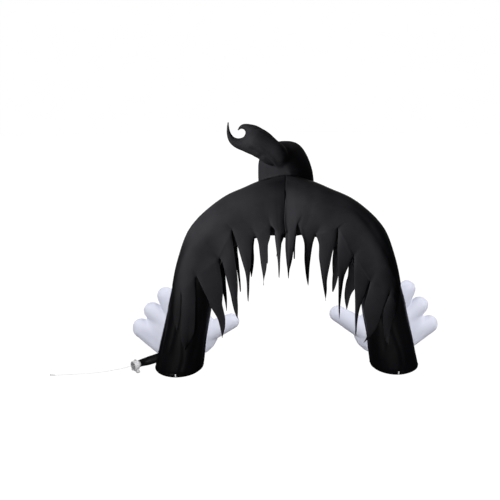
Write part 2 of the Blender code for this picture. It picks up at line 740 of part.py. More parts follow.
def main():
    clear_scene()
    pieces = new_collection("inflatable_arch")
    cutters = new_collection("cutters")
    centre = bpy.data.objects.new("arch_plane", None)
    pieces.objects.link(centre)
    centre.location = (0.0, PLANE_Y, 0.0)
    black = new_material("black_polyester", (0.020, 0.020, 0.023), 0.62)
    cloak = new_material("cape_polyester", (0.024, 0.024, 0.028), 0.58)
    white = new_material("white_polyester", (0.80, 0.80, 0.88), 0.55)
    webbing = new_material("white_webbing", (0.85, 0.85, 0.85), 0.70)
    plastics = {
        "pale_plastic": new_material("pale_plastic", (0.55, 0.56, 0.58), 0.42),
        "dark_plastic": new_material("dark_plastic", (0.10, 0.10, 0.11), 0.50),
    }
    cable = new_material("pale_cable", (0.70, 0.72, 0.74), 0.45)
    add_object("arch_tube", finish_mesh(loft(arch_rings()), "arch_tube"), black, pieces, centre)
    tool_mesh = finish_mesh(loft(arch_rings(SEAT_GAP)), "tube_tool")
    tube_tool = as_cutter(add_object("tube_tool", tool_mesh, None, cutters, centre))
    middle = CENTRE_NOTCH[0]
    add_cape("cape_back_right", RIGHT_STRIPS, -middle, False, 1, cloak, pieces, centre)
    add_cape("cape_back_left", LEFT_STRIPS, middle, False, -1, cloak, pieces, centre)
    add_cape("cape_front_left", RIGHT_STRIPS, -middle, True, -1, cloak, pieces, centre)
    add_cape("cape_front_right", LEFT_STRIPS, middle, True, 1, cloak, pieces, centre)
    add_hood(black, pieces, cutters, centre, tube_tool)
    add_hand("left_hand", LEFT_FINGERS, -1, white, pieces, cutters, centre, tube_tool)
    add_hand("right_hand", RIGHT_FINGERS, 1, white, pieces, cutters, centre, tube_tool)
    add_foot_tab("left_foot_tab", -1, webbing, pieces, centre, tube_tool)
    add_foot_tab("right_foot_tab", 1, webbing, pieces, centre, tube_tool)
    add_fan(plastics, pieces, centre)
    add_sleeve(black, pieces, centre, tube_tool)
    points = add_cord(cable, pieces, centre)
    add_plug(points, cable, pieces, cutters, centre)


main()
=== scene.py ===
import math

import bmesh
import bpy
import numpy as np
from mathutils import Matrix, Vector, noise


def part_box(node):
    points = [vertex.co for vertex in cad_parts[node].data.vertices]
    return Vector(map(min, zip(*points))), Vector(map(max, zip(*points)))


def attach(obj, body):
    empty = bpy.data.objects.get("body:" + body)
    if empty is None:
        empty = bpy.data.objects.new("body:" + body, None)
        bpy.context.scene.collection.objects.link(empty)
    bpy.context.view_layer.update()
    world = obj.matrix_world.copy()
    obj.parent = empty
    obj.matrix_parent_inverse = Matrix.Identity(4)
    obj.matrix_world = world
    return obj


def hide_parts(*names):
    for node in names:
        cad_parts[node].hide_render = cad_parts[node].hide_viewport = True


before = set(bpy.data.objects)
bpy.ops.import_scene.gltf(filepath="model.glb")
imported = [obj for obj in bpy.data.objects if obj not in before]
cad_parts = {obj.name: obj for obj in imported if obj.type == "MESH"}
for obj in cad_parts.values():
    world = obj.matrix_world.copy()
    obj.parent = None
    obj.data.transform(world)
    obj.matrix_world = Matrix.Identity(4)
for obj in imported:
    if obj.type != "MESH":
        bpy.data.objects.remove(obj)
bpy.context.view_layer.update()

# A hooded, ragged inflatable archway with two outsize hands, dressed around its frame.
# Metres, +Z up. The arch's own middle plane lies at planeY, and its back faces -Y.
scene = bpy.context.scene
planeY = -0.078

cameraView = {
    "height": 3.2,
    "away": 6.36,
    "downBy": math.radians(15.0),
    "turn": math.radians(1.5),
    "lens": 39.6,
    "shift": (-0.074, 0.004),
}


def addObject(name, data):
    thing = bpy.data.objects.new(name, data)
    scene.collection.objects.link(thing)
    return thing


def addCamera(view):
    data = bpy.data.cameras.new("camera")
    data.lens = view["lens"]
    data.sensor_width = 36.0
    data.shift_x, data.shift_y = view["shift"]
    data.clip_end = 100.0
    camera = addObject("camera", data)
    camera.location = (
        -view["away"] * math.sin(view["turn"]),
        -view["away"] * math.cos(view["turn"]) + planeY,
        view["height"],
    )
    camera.rotation_euler = (math.pi / 2 - view["downBy"], 0.0, -view["turn"])
    scene.camera = camera


addCamera(cameraView)


# Curves, steps and noise.

def smoothStep(low, high, value):
    share = min(max((value - low) / (high - low), 0.0), 1.0)
    return share * share * (3 - 2 * share)


def hump(off, wide):
    return math.exp(-((off / wide) ** 2))


def soft(x, y, z=0.0):
    return noise.noise(Vector((x, y, z)))


def turnFrom(line, degrees):
    # the turn from one direction to another, from -180 to 180 degrees
    return (degrees - line + 180.0) % 360.0 - 180.0


def between(a, b, share):
    return tuple(p + (q - p) * share for p, q in zip(a, b))


def rowAt(rows, first):
    # the row whose first column has this value, straight between its two neighbours
    for a, b in zip(rows, rows[1:]):
        if first <= b[0]:
            return between(a, b, min(max((first - a[0]) / (b[0] - a[0]), 0.0), 1.0))
    return rows[-1]


def throughRows(rows, steps):
    # rows on a smooth curve through the given rows
    made = []
    last = len(rows) - 1
    for i in range(last):
        before, after = rows[max(i - 1, 0)], rows[min(i + 2, last)]
        for k in range(steps):
            t = k / steps
            row = []
            for a, b, c, d in zip(before, rows[i], rows[i + 1], after):
                bend = (2 * a - 5 * b + 4 * c - d) * t * t + (3 * b - a - 3 * c + d) * t**3
                row.append(b + 0.5 * ((c - a) * t + bend))
            made.append(tuple(row))
    made.append(tuple(rows[last]))
    return made


def evenRows(rows, count, axes):
    # count + 1 rows, evenly spaced by the distance along the given columns
    along = [0.0]
    for a, b in zip(rows, rows[1:]):
        along.append(along[-1] + math.dist([a[k] for k in axes], [b[k] for k in axes]))
    made, at = [], 0
    for n in range(count + 1):
        want = along[-1] * n / count
        while at < len(rows) - 2 and along[at + 1] < want:
            at += 1
        share = (want - along[at]) / max(along[at + 1] - along[at], 1e-9)
        made.append(between(rows[at], rows[at + 1], share))
    return made


# Meshes.

def meshFrom(name, bm):
    mesh = bpy.data.meshes.new(name)
    bm.to_mesh(mesh)
    bm.free()
    return mesh


def mergeInto(bm, part, place=None):
    if place:
        part.transform(place)
    mesh = meshFrom("part", part)
    bm.from_mesh(mesh)
    bpy.data.meshes.remove(mesh)


def addPiece(name, bm, material, node, sharpAngle=40):
    mesh = meshFrom(name, bm)
    mesh.shade_smooth()
    mesh.set_sharp_from_angle(angle=math.radians(sharpAngle))
    mesh.materials.append(material)
    piece = addObject(name, mesh)
    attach(piece, "root")
    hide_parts(node)
    return piece


def clothGrid(columns, rows, size=None):
    # a flat grid whose x and y run from 0 to 1, with its flat size in metres as its weave map
    bm = bmesh.new()
    bmesh.ops.create_grid(bm, x_segments=columns, y_segments=rows, size=0.5)
    bmesh.ops.translate(bm, vec=(0.5, 0.5, 0.0), verts=bm.verts)
    if size:
        layer = bm.loops.layers.uv.new("weaveMap")
        for face in bm.faces:
            for loop in face.loops:
                loop[layer].uv = (loop.vert.co.x * size[0], loop.vert.co.y * size[1])
    return bm


def rolledGrid(around, along, place, size=None):
    # a grid rolled into a closed form; place(u, v) says where each of its points goes
    bm = clothGrid(around, along, size)
    for vert in bm.verts:
        vert.co = place(vert.co.x, vert.co.y)
    bmesh.ops.remove_doubles(bm, verts=bm.verts, dist=1e-5)
    bmesh.ops.recalc_face_normals(bm, faces=bm.faces)
    return bm


def roundTube(bm, rows, around, steps):
    # a closed tube with round ends through rows of x, y, z and radius, added to the bmesh
    points = throughRows(rows, steps)
    caps = []
    for end, inner in ((points[0], points[1]), (points[-1], points[-2])):
        middle, radius = Vector(end[:3]), end[3]
        away = (middle - Vector(inner[:3])).normalized() * radius
        caps.append([
            (*(middle + away * share), radius * math.sqrt(max(1 - share * share, 0.0)))
            for share in (0.30, 0.55, 0.75, 0.90, 0.98, 1.0)
        ])
    points = caps[0][::-1] + points + caps[1]
    last = len(points) - 1

    def place(u, v):
        i = round(v * last)
        run = Vector(points[min(i + 1, last)][:3]) - Vector(points[max(i - 1, 0)][:3])
        side = run.cross(Vector((0.0, 1.0, 0.0))).normalized()
        other = side.cross(run).normalized()
        angle = 2 * math.pi * u
        return Vector(points[i][:3]) + points[i][3] * (math.cos(angle) * side + math.sin(angle) * other)

    mergeInto(bm, rolledGrid(around, last, place))


def turned(bm, profile, steps, place, closed=False):
    # a profile of radius and height spun round Z, ends on the axis or closed to a hoop
    part = bmesh.new()
    ring = [part.verts.new((radius, 0.0, height)) for radius, height in profile]
    edges = [part.edges.new(pair) for pair in zip(ring, ring[1:])]
    if closed:
        edges.append(part.edges.new((ring[-1], ring[0])))
    bmesh.ops.spin(
        part, geom=ring + edges, cent=(0, 0, 0), axis=(0, 0, 1), angle=2 * math.pi, steps=steps,
        use_merge=True, use_duplicate=False,
    )
    bmesh.ops.remove_doubles(part, verts=part.verts, dist=1e-6)
    bmesh.ops.recalc_face_normals(part, faces=part.faces)
    mergeInto(bm, part, place)


def hoop(bm, radius, thick, height, steps, place, tall=1.0):
    turns = [k * math.pi / 5 for k in range(10)]
    profile = [(radius + thick * math.cos(turn), height + tall * thick * math.sin(turn)) for turn in turns]
    turned(bm, profile, steps, place, closed=True)


def block(bm, size, edge, place):
    part = bmesh.new()
    bmesh.ops.create_cube(part, size=1.0)
    bmesh.ops.scale(part, vec=size, verts=part.verts)
    bmesh.ops.bevel(
        part, geom=part.edges[:], offset=edge, affect="EDGES", segments=3, profile=0.5, material=-1,
    )
    mergeInto(bm, part, place)


# Materials.

def feed(tree, node, inputs):
    # gives inputs, by name or number, a value, a colour or another node's output
    for key, value in inputs.items():
        if isinstance(value, bpy.types.NodeSocket):
            tree.links.new(value, node.inputs[key])
        else:
            node.inputs[key].default_value = (*value, 1.0) if isinstance(value, tuple) else value


def addNode(tree, kind, inputs, **settings):
    node = tree.nodes.new(kind)
    for key, value in settings.items():
        setattr(node, key, value)
    feed(tree, node, inputs)
    return node


def mathNode(tree, operation, *values):
    return addNode(tree, "ShaderNodeMath", dict(enumerate(values)), operation=operation).outputs[0]


def mixColours(tree, share, first, second):
    return addNode(tree, "ShaderNodeMix", {0: share, 6: first, 7: second}, data_type="RGBA").outputs[2]


def remap(tree, value, source, target):
    limits = zip(("From Min", "From Max", "To Min", "To Max"), (*source, *target))
    return addNode(tree, "ShaderNodeMapRange", {"Value": value, **dict(limits)}).outputs["Result"]


def newMaterial(name):
    material = bpy.data.materials.new(name)
    material.use_nodes = True
    return material, material.node_tree, material.node_tree.nodes["Principled BSDF"]


def clothMaterial(name, look):
    # look gives the cloth's colours, gloss, weave, stitches and creases
    material, tree, shader = newMaterial(name)
    where = addNode(tree, "ShaderNodeTexCoord", {})
    spot = where.outputs["Object"]
    place = where.outputs["UV"] if look["mapped"] else spot
    # threads of a plain weave: two sets of bands
    threads = {"Vector": place, "Scale": math.pi / 10 / look["thread"], "Distortion": 0.6, "Detail": 1.0}
    weave = mathNode(tree, "MAXIMUM", *(
        addNode(tree, "ShaderNodeTexWave", threads, wave_type="BANDS", bands_direction=way).outputs["Fac"]
        for way in ("X", "Y" if look["mapped"] else "Z")
    ))
    # broad tone changes and soft crumples follow the whole object
    cloud = {"Vector": spot, "Scale": look["toneScale"], "Detail": 3.0, "Roughness": 0.55}
    tone = addNode(tree, "ShaderNodeTexNoise", cloud).outputs["Fac"]
    ridges = {"Vector": spot, "Scale": look["crumpleScale"], "Detail": 3.0, "Roughness": 0.45}
    crumple = addNode(tree, "ShaderNodeTexNoise", ridges, noise_type="RIDGED_MULTIFRACTAL").outputs["Fac"]
    colour = mixColours(tree, remap(tree, tone, (0.30, 0.70), (0.0, 1.0)), look["dark"], look["light"])
    colour = mixColours(tree, mathNode(tree, "MULTIPLY", weave, look["threadTone"]), colour, look["light"])
    relief = mathNode(tree, "MULTIPLY", weave, look["thread"] * 0.12)
    if look["stitches"]:
        # a line of stitches this far in from the top seam
        split = addNode(tree, "ShaderNodeSeparateXYZ", {0: place})
        fromLine = mathNode(
            tree, "ABSOLUTE", mathNode(tree, "SUBTRACT", split.outputs["Y"], look["stitches"]))
        onLine = mathNode(tree, "LESS_THAN", fromLine, look["stitchHalf"])
        step = mathNode(tree, "FRACT", mathNode(tree, "DIVIDE", split.outputs["X"], look["stitchLong"]))
        stitch = mathNode(tree, "MULTIPLY", onLine, mathNode(tree, "LESS_THAN", step, look["stitchShare"]))
        colour = mixColours(tree, stitch, colour, look["threadColour"])
        relief = mathNode(tree, "ADD", relief, mathNode(tree, "MULTIPLY", stitch, look["stitchHigh"]))
    height = addNode(tree, "ShaderNodeSeparateXYZ", {0: spot}).outputs["Z"]
    if look["fade"]:
        # painted shade: darker towards the bottom in place of light falling off low down: low height, high
        # height and the share of the colour left low down
        low, high, left = look["fade"]
        strength = remap(tree, height, (low, high), (left, 1.0))
        if look["usesPaintedShade"]:
            # painted light and shade: lighter and darker zones kept on each point of the piece
            paintedLightAndShadeZones = addNode(tree, "ShaderNodeAttribute", {}, attribute_name="paintedShade")
            strength = mathNode(tree, "MULTIPLY", strength, paintedLightAndShadeZones.outputs["Fac"])
        scaled = addNode(tree, "ShaderNodeVectorMath", {0: colour, "Scale": strength}, operation="SCALE")
        colour = scaled.outputs["Vector"]
    specular = look["specular"]
    if look["shine"]:
        # duller near the ground: the height of the full shine, and the shine left on the ground
        full, left = look["shine"]
        specular = remap(tree, height, (0.0, full), (left, specular))
    fine = addNode(tree, "ShaderNodeBump", {"Strength": 0.55, "Distance": 1.0, "Height": relief})
    bump = {
        "Strength": look["crumple"], "Distance": 0.006,
        "Height": crumple, "Normal": fine.outputs["Normal"],
    }
    feed(tree, shader, {
        "Base Color": colour,
        "Roughness": remap(tree, tone, (0.0, 1.0), look["rough"]),
        "Specular IOR Level": specular,
        "Sheen Weight": look["sheen"],
        "Sheen Roughness": 0.45,
        "Sheen Tint": look["sheenTint"],
        "Normal": addNode(tree, "ShaderNodeBump", bump).outputs["Normal"],
    })
    return material


def plasticMaterial(name, colour, roughness, metallic=0.0):
    material, tree, shader = newMaterial(name)
    spot = addNode(tree, "ShaderNodeTexCoord", {}).outputs["Object"]
    fine = addNode(tree, "ShaderNodeTexNoise", {"Vector": spot, "Scale": 900.0, "Detail": 2.0}).outputs["Fac"]
    broad = addNode(tree, "ShaderNodeTexNoise", {"Vector": spot, "Scale": 14.0, "Detail": 4.0}).outputs["Fac"]
    dark = tuple(value * (1 - plasticLook["speckle"]) for value in colour)
    spread = plasticLook["roughSpread"]
    bump = {"Strength": 0.35, "Distance": plasticLook["grain"], "Height": fine}
    feed(tree, shader, {
        "Base Color": mixColours(tree, broad, dark, colour),
        "Metallic": metallic,
        "Roughness": remap(tree, broad, (0.0, 1.0), (roughness - spread, roughness + spread)),
        "Normal": addNode(tree, "ShaderNodeBump", bump).outputs["Normal"],
    })
    return material


blackLook = {
    "dark": (0.0018, 0.0018, 0.0021),
    "light": (0.0034, 0.0034, 0.0040),
    "fade": None,
    "usesPaintedShade": False,
    "rough": (0.46, 0.56),
    "specular": 0.13,
    "shine": None,
    "sheen": 0.0,
    "sheenTint": (0.80, 0.80, 1.00),
    "thread": 0.0016,
    "threadTone": 0.35,
    "toneScale": 3.5,
    "crumpleScale": 3.2,
    "crumple": 0.22,
    "mapped": True,  # the weave follows the cloth's own map
    "stitches": 0.0,
}
blackCloth = clothMaterial("blackTubeCloth", {
    **blackLook,
    "dark": (0.0012, 0.0012, 0.0015),
    "light": (0.0022, 0.0022, 0.0027),
    "rough": (0.40, 0.48),
    "specular": 0.12,
    "shine": (0.50, 0.030),
})
sleeveCloth = clothMaterial("sleeveCloth", {**blackLook, "specular": 0.10})
capeCloth = clothMaterial("capeCloth", {
    **blackLook,
    "dark": (0.023, 0.0225, 0.0255),
    "light": (0.034, 0.033, 0.037),
    "rough": (0.66, 0.76),
    # painted shade: the colour darkens towards the bottom
    "fade": (0.45, 1.80, 0.36),
    # painted light and shade from the zones kept on each point
    "usesPaintedShade": True,
    "specular": 0.06,
    "crumple": 0.14,
    "stitches": 0.012,
    "stitchHalf": 0.0011,
    "stitchLong": 0.008,
    "stitchShare": 0.68,
    "stitchHigh": 0.0006,
    "threadColour": (0.050, 0.050, 0.055),
})
hoodCloth = clothMaterial("hoodCloth", {
    **blackLook,
    "dark": (0.019, 0.0185, 0.0215),
    "light": (0.028, 0.0275, 0.031),
    "rough": (0.62, 0.72),
    "specular": 0.07,
    "mapped": False,
})
handCloth = clothMaterial("handCloth", {
    **blackLook,
    "dark": (0.550, 0.565, 0.670),
    "light": (0.610, 0.625, 0.715),
    "rough": (0.50, 0.62),
    "specular": 0.35,
    "sheen": 0.15,
    "sheenTint": (0.95, 0.95, 1.00),
    "crumple": 0.16,
    "crumpleScale": 5.0,
    "mapped": False,
})
webbingCloth = clothMaterial("tabWebbing", {
    **blackLook,
    "dark": (0.44, 0.44, 0.44),
    "light": (0.56, 0.56, 0.56),
    "thread": 0.0022,
    "threadTone": 0.5,
    "mapped": False,
})
plasticLook = {"speckle": 0.12, "grain": 0.0002, "roughSpread": 0.08}
palePlastic = plasticMaterial("fanPalePlastic", (0.58, 0.58, 0.59), 0.42)
standPlastic = plasticMaterial("fanStandPlastic", (0.46, 0.46, 0.47), 0.45)
darkPlastic = plasticMaterial("fanDarkPlastic", (0.34, 0.34, 0.35), 0.48)
cordPlastic = plasticMaterial("cordPlastic", (0.74, 0.74, 0.75), 0.45)
brass = plasticMaterial("plugBladeMetal", (0.62, 0.58, 0.50), 0.30, metallic=1.0)


# The power cord, from the fan's relief to the plug.

fanShape = {
    "centre": (-1.882, -0.090, 0.082),  # x, y from the arch's plane, z
    "turn": math.radians(46.0),  # the way the air leaves, from +X
    "cordDrop": math.radians(24.0),
    "radius": 0.062,
    "half": 0.031,
    "gap": 0.0004,
    "collarRadius": 0.040,
    "collarLong": 0.025,
    "reliefLong": 0.030,
}
fanX, fanY, fanZ = fanShape["centre"]
fanMatrix = Matrix.Translation((fanX, fanY + planeY, fanZ)) @ Matrix.Rotation(fanShape["turn"], 4, "Z")
cordWay = Vector((0.0, math.cos(fanShape["cordDrop"]), -math.sin(fanShape["cordDrop"])))

cordShape = {
    "radius": 0.003,
    "length": 0.934,
    "straight": 0.018,  # held straight by the relief
    "route": (
        (-1.990, -0.008, 0.0210), (-2.055, -0.024, 0.0095), (-2.118, -0.040, 0.0035),
        (-2.180, -0.063, 0.0035), (-2.242, -0.088, 0.0035), (-2.368, -0.124, 0.0035),
        (-2.498, -0.147, 0.0035), (-2.629, -0.159, 0.0035), (-2.759, -0.171, 0.0035),
        (-2.842, -0.178, 0.0035),
    ),
    "points": 46,
}


def cordPoints(shape, fan):
    reach = fan["radius"] + fan["gap"] + fan["reliefLong"]
    rows = [tuple(fanMatrix @ (cordWay * (reach + out))) for out in (fan["gap"], shape["straight"])]
    rows += [(x, y + planeY, z) for x, y, z in shape["route"]]
    return evenRows(throughRows(rows, 10), shape["points"], (0, 1, 2))


def addCord(shape, points):
    curve = bpy.data.curves.new("powerCord", "CURVE")
    curve.dimensions = "3D"
    curve.bevel_depth = shape["radius"]
    curve.bevel_resolution = 4
    curve.use_fill_caps = True
    spline = curve.splines.new("POLY")
    spline.points.add(len(points) - 1)
    for point, spot in zip(spline.points, points):
        point.co = (*spot, 1.0)
    curve.materials.append(cordPlastic)
    cord = addObject("powerCord", curve)
    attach(cord, "root")
    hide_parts("power_cord")
    return cord


cordLine = cordPoints(cordShape, fanShape)
powerCord = addCord(cordShape, cordLine)
print("camera and cord placed")


# The floor, the sky and the lights.

studio = {
    "floorRadius": 60.0,
    "floorColour": (0.06, 0.06, 0.06),
    "floorGlow": 0.97,
    "ambient": (0.050, 0.050, 0.056),
    "sky": 1.0,
    "suns": (
        # name, strength, softness, heading from -Y towards +X, height, the pieces lit
        ("keySun", 4.2, 20.0, -57.0, 14.0, "cape"),
        ("legSun", 3.5, 20.0, -12.0, 14.0, "tube"),
        ("backSun", 0.7, 90.0, 172.0, 22.0, "dark"),
        ("paleSun", 2.0, 60.0, 8.0, 24.0, "pale"),
        ("paleLeftSun", 2.8, 100.0, -72.0, 14.0, "pale"),
        ("paleRightSun", 2.8, 100.0, 78.0, 14.0, "pale"),
        ("paleBackSun", 1.8, 100.0, 180.0, 20.0, "pale"),
    ),
    # the pieces that each group of lights is for; the dark group is tube and cape together
    "pale": (
        "leftHand", "rightHand", "powerCord", "plugBody", "plugBlades", "leftFootTab", "rightFootTab",
        "fanHousing", "intakeGrille", "outletCollar", "fanStand", "topKnob", "cordRelief",
    ),
    "tube": ("archTube", "airSleeve"),
    "cape": ("capeBackRight", "capeBackLeft", "capeFrontLeft", "capeFrontRight", "hoodShell"),
}
lightGroups = {name: bpy.data.collections.new(name + "Pieces") for name in ("pale", "dark", "cape", "tube")}


def addStagePiece(name, bm, colour, glow):
    material, tree, shader = newMaterial(name)
    feed(tree, shader, {
        "Base Color": colour,
        "Roughness": 0.9,
        "Specular IOR Level": 0.1,
        "Emission Color": (1.0, 1.0, 1.0),
        "Emission Strength": glow,
    })
    piece = addObject(name, meshFrom(name, bm))
    piece.data.materials.append(material)
    piece.visible_diffuse = False
    piece.visible_glossy = False
    return piece


def addStage(look):
    bm = bmesh.new()
    bmesh.ops.create_circle(bm, cap_ends=True, segments=96, radius=look["floorRadius"])
    floor = addStagePiece("floor", bm, look["floorColour"], look["floorGlow"])
    lightGroups["pale"].objects.link(floor)
    bm = bmesh.new()
    bmesh.ops.create_uvsphere(bm, u_segments=64, v_segments=32, radius=look["floorRadius"] * 0.98)
    bmesh.ops.reverse_faces(bm, faces=bm.faces)
    sky = addStagePiece("paleSky", bm, (0.0, 0.0, 0.0), look["sky"])
    sky.visible_shadow = False


def addLights(look):
    world = bpy.data.worlds.new("studioAmbient")
    world.use_nodes = True
    world.node_tree.nodes["Background"].inputs["Color"].default_value = (*look["ambient"], 1.0)
    scene.world = world
    for name, strength, softness, heading, height, lit in look["suns"]:
        data = bpy.data.lights.new(name, "SUN")
        data.energy = strength
        data.angle = math.radians(softness)
        sun = addObject(name, data)
        # a sun shines along its own -Z
        sun.rotation_euler = (math.radians(90.0 - height), 0.0, math.radians(heading))
        sun.light_linking.receiver_collection = lightGroups[lit]
        sun.light_linking.blocker_collection = lightGroups["pale" if lit == "pale" else "dark"]


addStage(studio)
addLights(studio)
scene.view_settings.view_transform = "Standard"


# The tube.

archShape = {
    "rows": (
        # x, z, radius
        (0.000, 2.046, 0.372), (0.204, 2.029, 0.330), (0.406, 1.973, 0.300), (0.622, 1.893, 0.285),
        (0.803, 1.775, 0.270), (0.907, 1.681, 0.260), (0.964, 1.602, 0.255), (1.021, 1.469, 0.252),
        (1.093, 1.244, 0.252), (1.146, 1.002, 0.252), (1.193, 0.732, 0.254), (1.258, 0.452, 0.262),
        (1.308, 0.202, 0.277), (1.352, 0.000, 0.292),
    ),
    "levelBelow": 0.30,
    "foot": ((0.040, 1.004), (0.013, 0.982), (0.000, 0.925)),  # height, share of the foot's radius
    "around": 120,
    "halfStations": 230,
    "coarseStations": 92,
    "halfLength": 2.68,
    "capeShare": 14 / 23,  # of the half's length that carries the cape
    "seamHeight": 0.052,
    "fuller": {1: 0.025, -1: 0.017},  # on the outside of the right leg and the left
    "mapSize": (1.63, 5.4),
}


def halfRings(shape, count):
    # rings from the crown to one foot: centre x and z, radius, and the outward normal's x and z
    rows = shape["rows"]
    mirrored = ((-rows[1][0], *rows[1][1:]), *rows)
    even = evenRows(throughRows(mirrored, 12)[12:], count, (0, 1))
    rings = []
    for i, (x, z, radius) in enumerate(even):
        ahead, behind = even[min(i + 1, count)], even[max(i - 1, 0)]
        slope = Vector((ahead[0] - behind[0], ahead[1] - behind[1])) if i else Vector((1.0, 0.0))
        level = min(max((shape["levelBelow"] - z) / shape["levelBelow"], 0.0), 1.0)
        slope = slope.normalized().lerp(Vector((0.0, -1.0)), level).normalized()
        rings.append((x, z, radius, -slope.y, slope.x))
    return rings


tubeRings = halfRings(archShape, archShape["coarseStations"])


def ringPoint(ring, angle, out=0.0, side=1):
    # angle 0 is the back, and it grows over the outside to the front
    x, z, radius, normalX, normalZ = ring
    reach = radius + out
    away = reach * math.sin(angle)
    return Vector((side * (x + away * normalX), planeY - reach * math.cos(angle), z + away * normalZ))


def tubeDepth(x, z):
    # how far the tube's back stands from its middle plane at each point
    best = np.zeros_like(x)
    for a, b in zip(tubeRings, tubeRings[1:]):
        runX, runZ = b[0] - a[0], b[1] - a[1]
        share = ((np.abs(x) - a[0]) * runX + (z - a[1]) * runZ) / (runX * runX + runZ * runZ)
        share = np.clip(share, 0.0, 1.0)
        radius = a[2] + (b[2] - a[2]) * share
        off = np.hypot(np.abs(x) - a[0] - runX * share, z - a[1] - runZ * share)
        best = np.maximum(best, np.sqrt(np.maximum(radius * radius - off * off, 0.0)))
    return best


# long creases down the legs: side, angle from the back, top and low height, width, depth, wander
legCreases = (
    (-1, 30.0, 1.00, 0.30, 11.0, 0.011, 5.0), (-1, -4.0, 0.62, 0.05, 8.0, 0.006, 5.0),
    (-1, -38.0, 0.90, 0.22, 13.0, 0.010, 6.0), (-1, -74.0, 0.55, 0.06, 10.0, 0.007, 4.0),
    (-1, 62.0, 0.60, 0.05, 9.0, 0.007, 5.0), (-1, 118.0, 0.95, 0.25, 13.0, 0.010, 6.0),
    (-1, 170.0, 0.80, 0.10, 12.0, 0.009, 5.0), (1, -22.0, 0.98, 0.32, 12.0, 0.011, 6.0),
    (1, -52.0, 0.60, 0.06, 9.0, 0.007, 4.0), (1, 14.0, 0.70, 0.08, 9.0, 0.008, 5.0),
    (1, 50.0, 0.90, 0.30, 13.0, 0.010, 6.0), (1, -86.0, 0.85, 0.20, 12.0, 0.008, 5.0),
    (1, 110.0, 0.95, 0.22, 12.0, 0.010, 5.0), (1, 164.0, 0.75, 0.08, 12.0, 0.008, 6.0),
)


def seamValley(across, side):
    # how deep the capes' centre seam draws the cloth in, this far from the seam
    broad, near = (0.42, 0.10) if side > 0 else (0.36, 0.16)
    return 0.062 * max(1 - across / broad, 0.0) ** 1.3 + 0.018 * max(1 - across / near, 0.0) ** 1.2


def tubeRelief(side, height, angle, downShare):
    # how far the cloth stands off the round tube at a point
    degrees = turnFrom(0.0, math.degrees(angle))
    out = 0.0035 * soft(4.0 * side + 2.2 * math.cos(angle), 2.2 * math.sin(angle), 3.4 * height + 0.7 * side)
    capeEnd = archShape["capeShare"]
    if downShare > capeEnd * 0.9:
        fade = smoothStep(capeEnd * 0.9, capeEnd * 1.08, downShare)
        for part, middle, top, low, wide, deep, wander in legCreases:
            if part != side or not low - 0.1 < height < top + 0.1:
                continue
            off = turnFrom(middle + wander * soft(middle, 2.4 * height) * 2, degrees)
            reach = smoothStep(low - 0.1, low + 0.12, height) * (1 - smoothStep(top - 0.2, top + 0.1, height))
            out += fade * deep * reach * (0.45 * hump(abs(off) - wide, wide) - hump(off, wide / 1.6))
    # the capes' centre seam draws the cloth in
    behind = smoothStep(0.10, 0.45, math.cos(angle)) + 0.25 * smoothStep(0.10, 0.45, -math.cos(angle))
    out -= (seamValley(downShare * archShape["halfLength"], side) + 0.003) * behind
    # the base seam gathers the cloth into short puckers
    rise = height - archShape["seamHeight"]
    if downShare > 0.8:
        out -= 0.0045 * hump(rise, 0.010)
        pucker = math.cos(23 * angle + 1.5 * soft(3 * side, angle * 1.3)) * 0.6 + math.cos(41 * angle) * 0.4
        out += 0.0036 * pucker * math.exp(-max(rise, 0.0) / 0.045) * smoothStep(0.012, 0.05, height)
    # the legs are fuller on the outside
    out += archShape["fuller"][side] * smoothStep(1.05, 0.78, height) * max(math.sin(angle), 0.0) ** 3
    # the inner and outer lengthwise seams
    for line in (90.0, -90.0):
        off = turnFrom(line, degrees)
        if abs(off) < 8.0:
            out -= 0.0035 * hump(off, 1.2)
            out += 0.0022 * hump(off, 4.0) * math.cos(height * 120.0 + math.sin(height * 31.0))
    return out


def shoulderLift(spot):
    # the left shoulder stands a little higher
    across = smoothStep(-0.08, -0.30, spot.x) * smoothStep(-0.90, -0.60, spot.x)
    return 0.013 * across * smoothStep(1.90, 2.20, spot.z)


def addArchTube(shape):
    half = halfRings(shape, shape["halfStations"])
    x, z, radius = half[-1][:3]
    lean = (x - half[-2][0]) / (half[-2][1] - z)
    foot = throughRows(shape["foot"], 4)
    under = [(0.0, shape["foot"][-1][1] * (1 - k / 10)) for k in range(1, 11)]
    half = [ring for ring in half if ring[1] > shape["foot"][0][0] + 0.006]
    stations = len(half)
    half += [(x - lean * height, height, radius * share, 1.0, 0.0) for height, share in foot + under]
    rings = [(-1, i, ring) for i, ring in enumerate(half)][:0:-1]
    rings += [(1, i, ring) for i, ring in enumerate(half)]
    last = len(rings) - 1

    def place(u, v):
        side, i, ring = rings[round(v * last)]
        angle = math.pi * (2 * u - 0.5)
        if i >= stations + len(foot) - 2:
            return ringPoint(ring, angle, 0.0, side)
        spot = ringPoint(ring, angle, tubeRelief(side, ring[1], angle, i / stations), side)
        spot.z += shoulderLift(spot)
        return spot

    bm = rolledGrid(shape["around"], last, place, shape["mapSize"])
    tube = addPiece("archTube", bm, blackCloth, "arch_tube")
    print("tube made,", len(tube.data.polygons), "faces")


addArchTube(archShape)


# The capes.

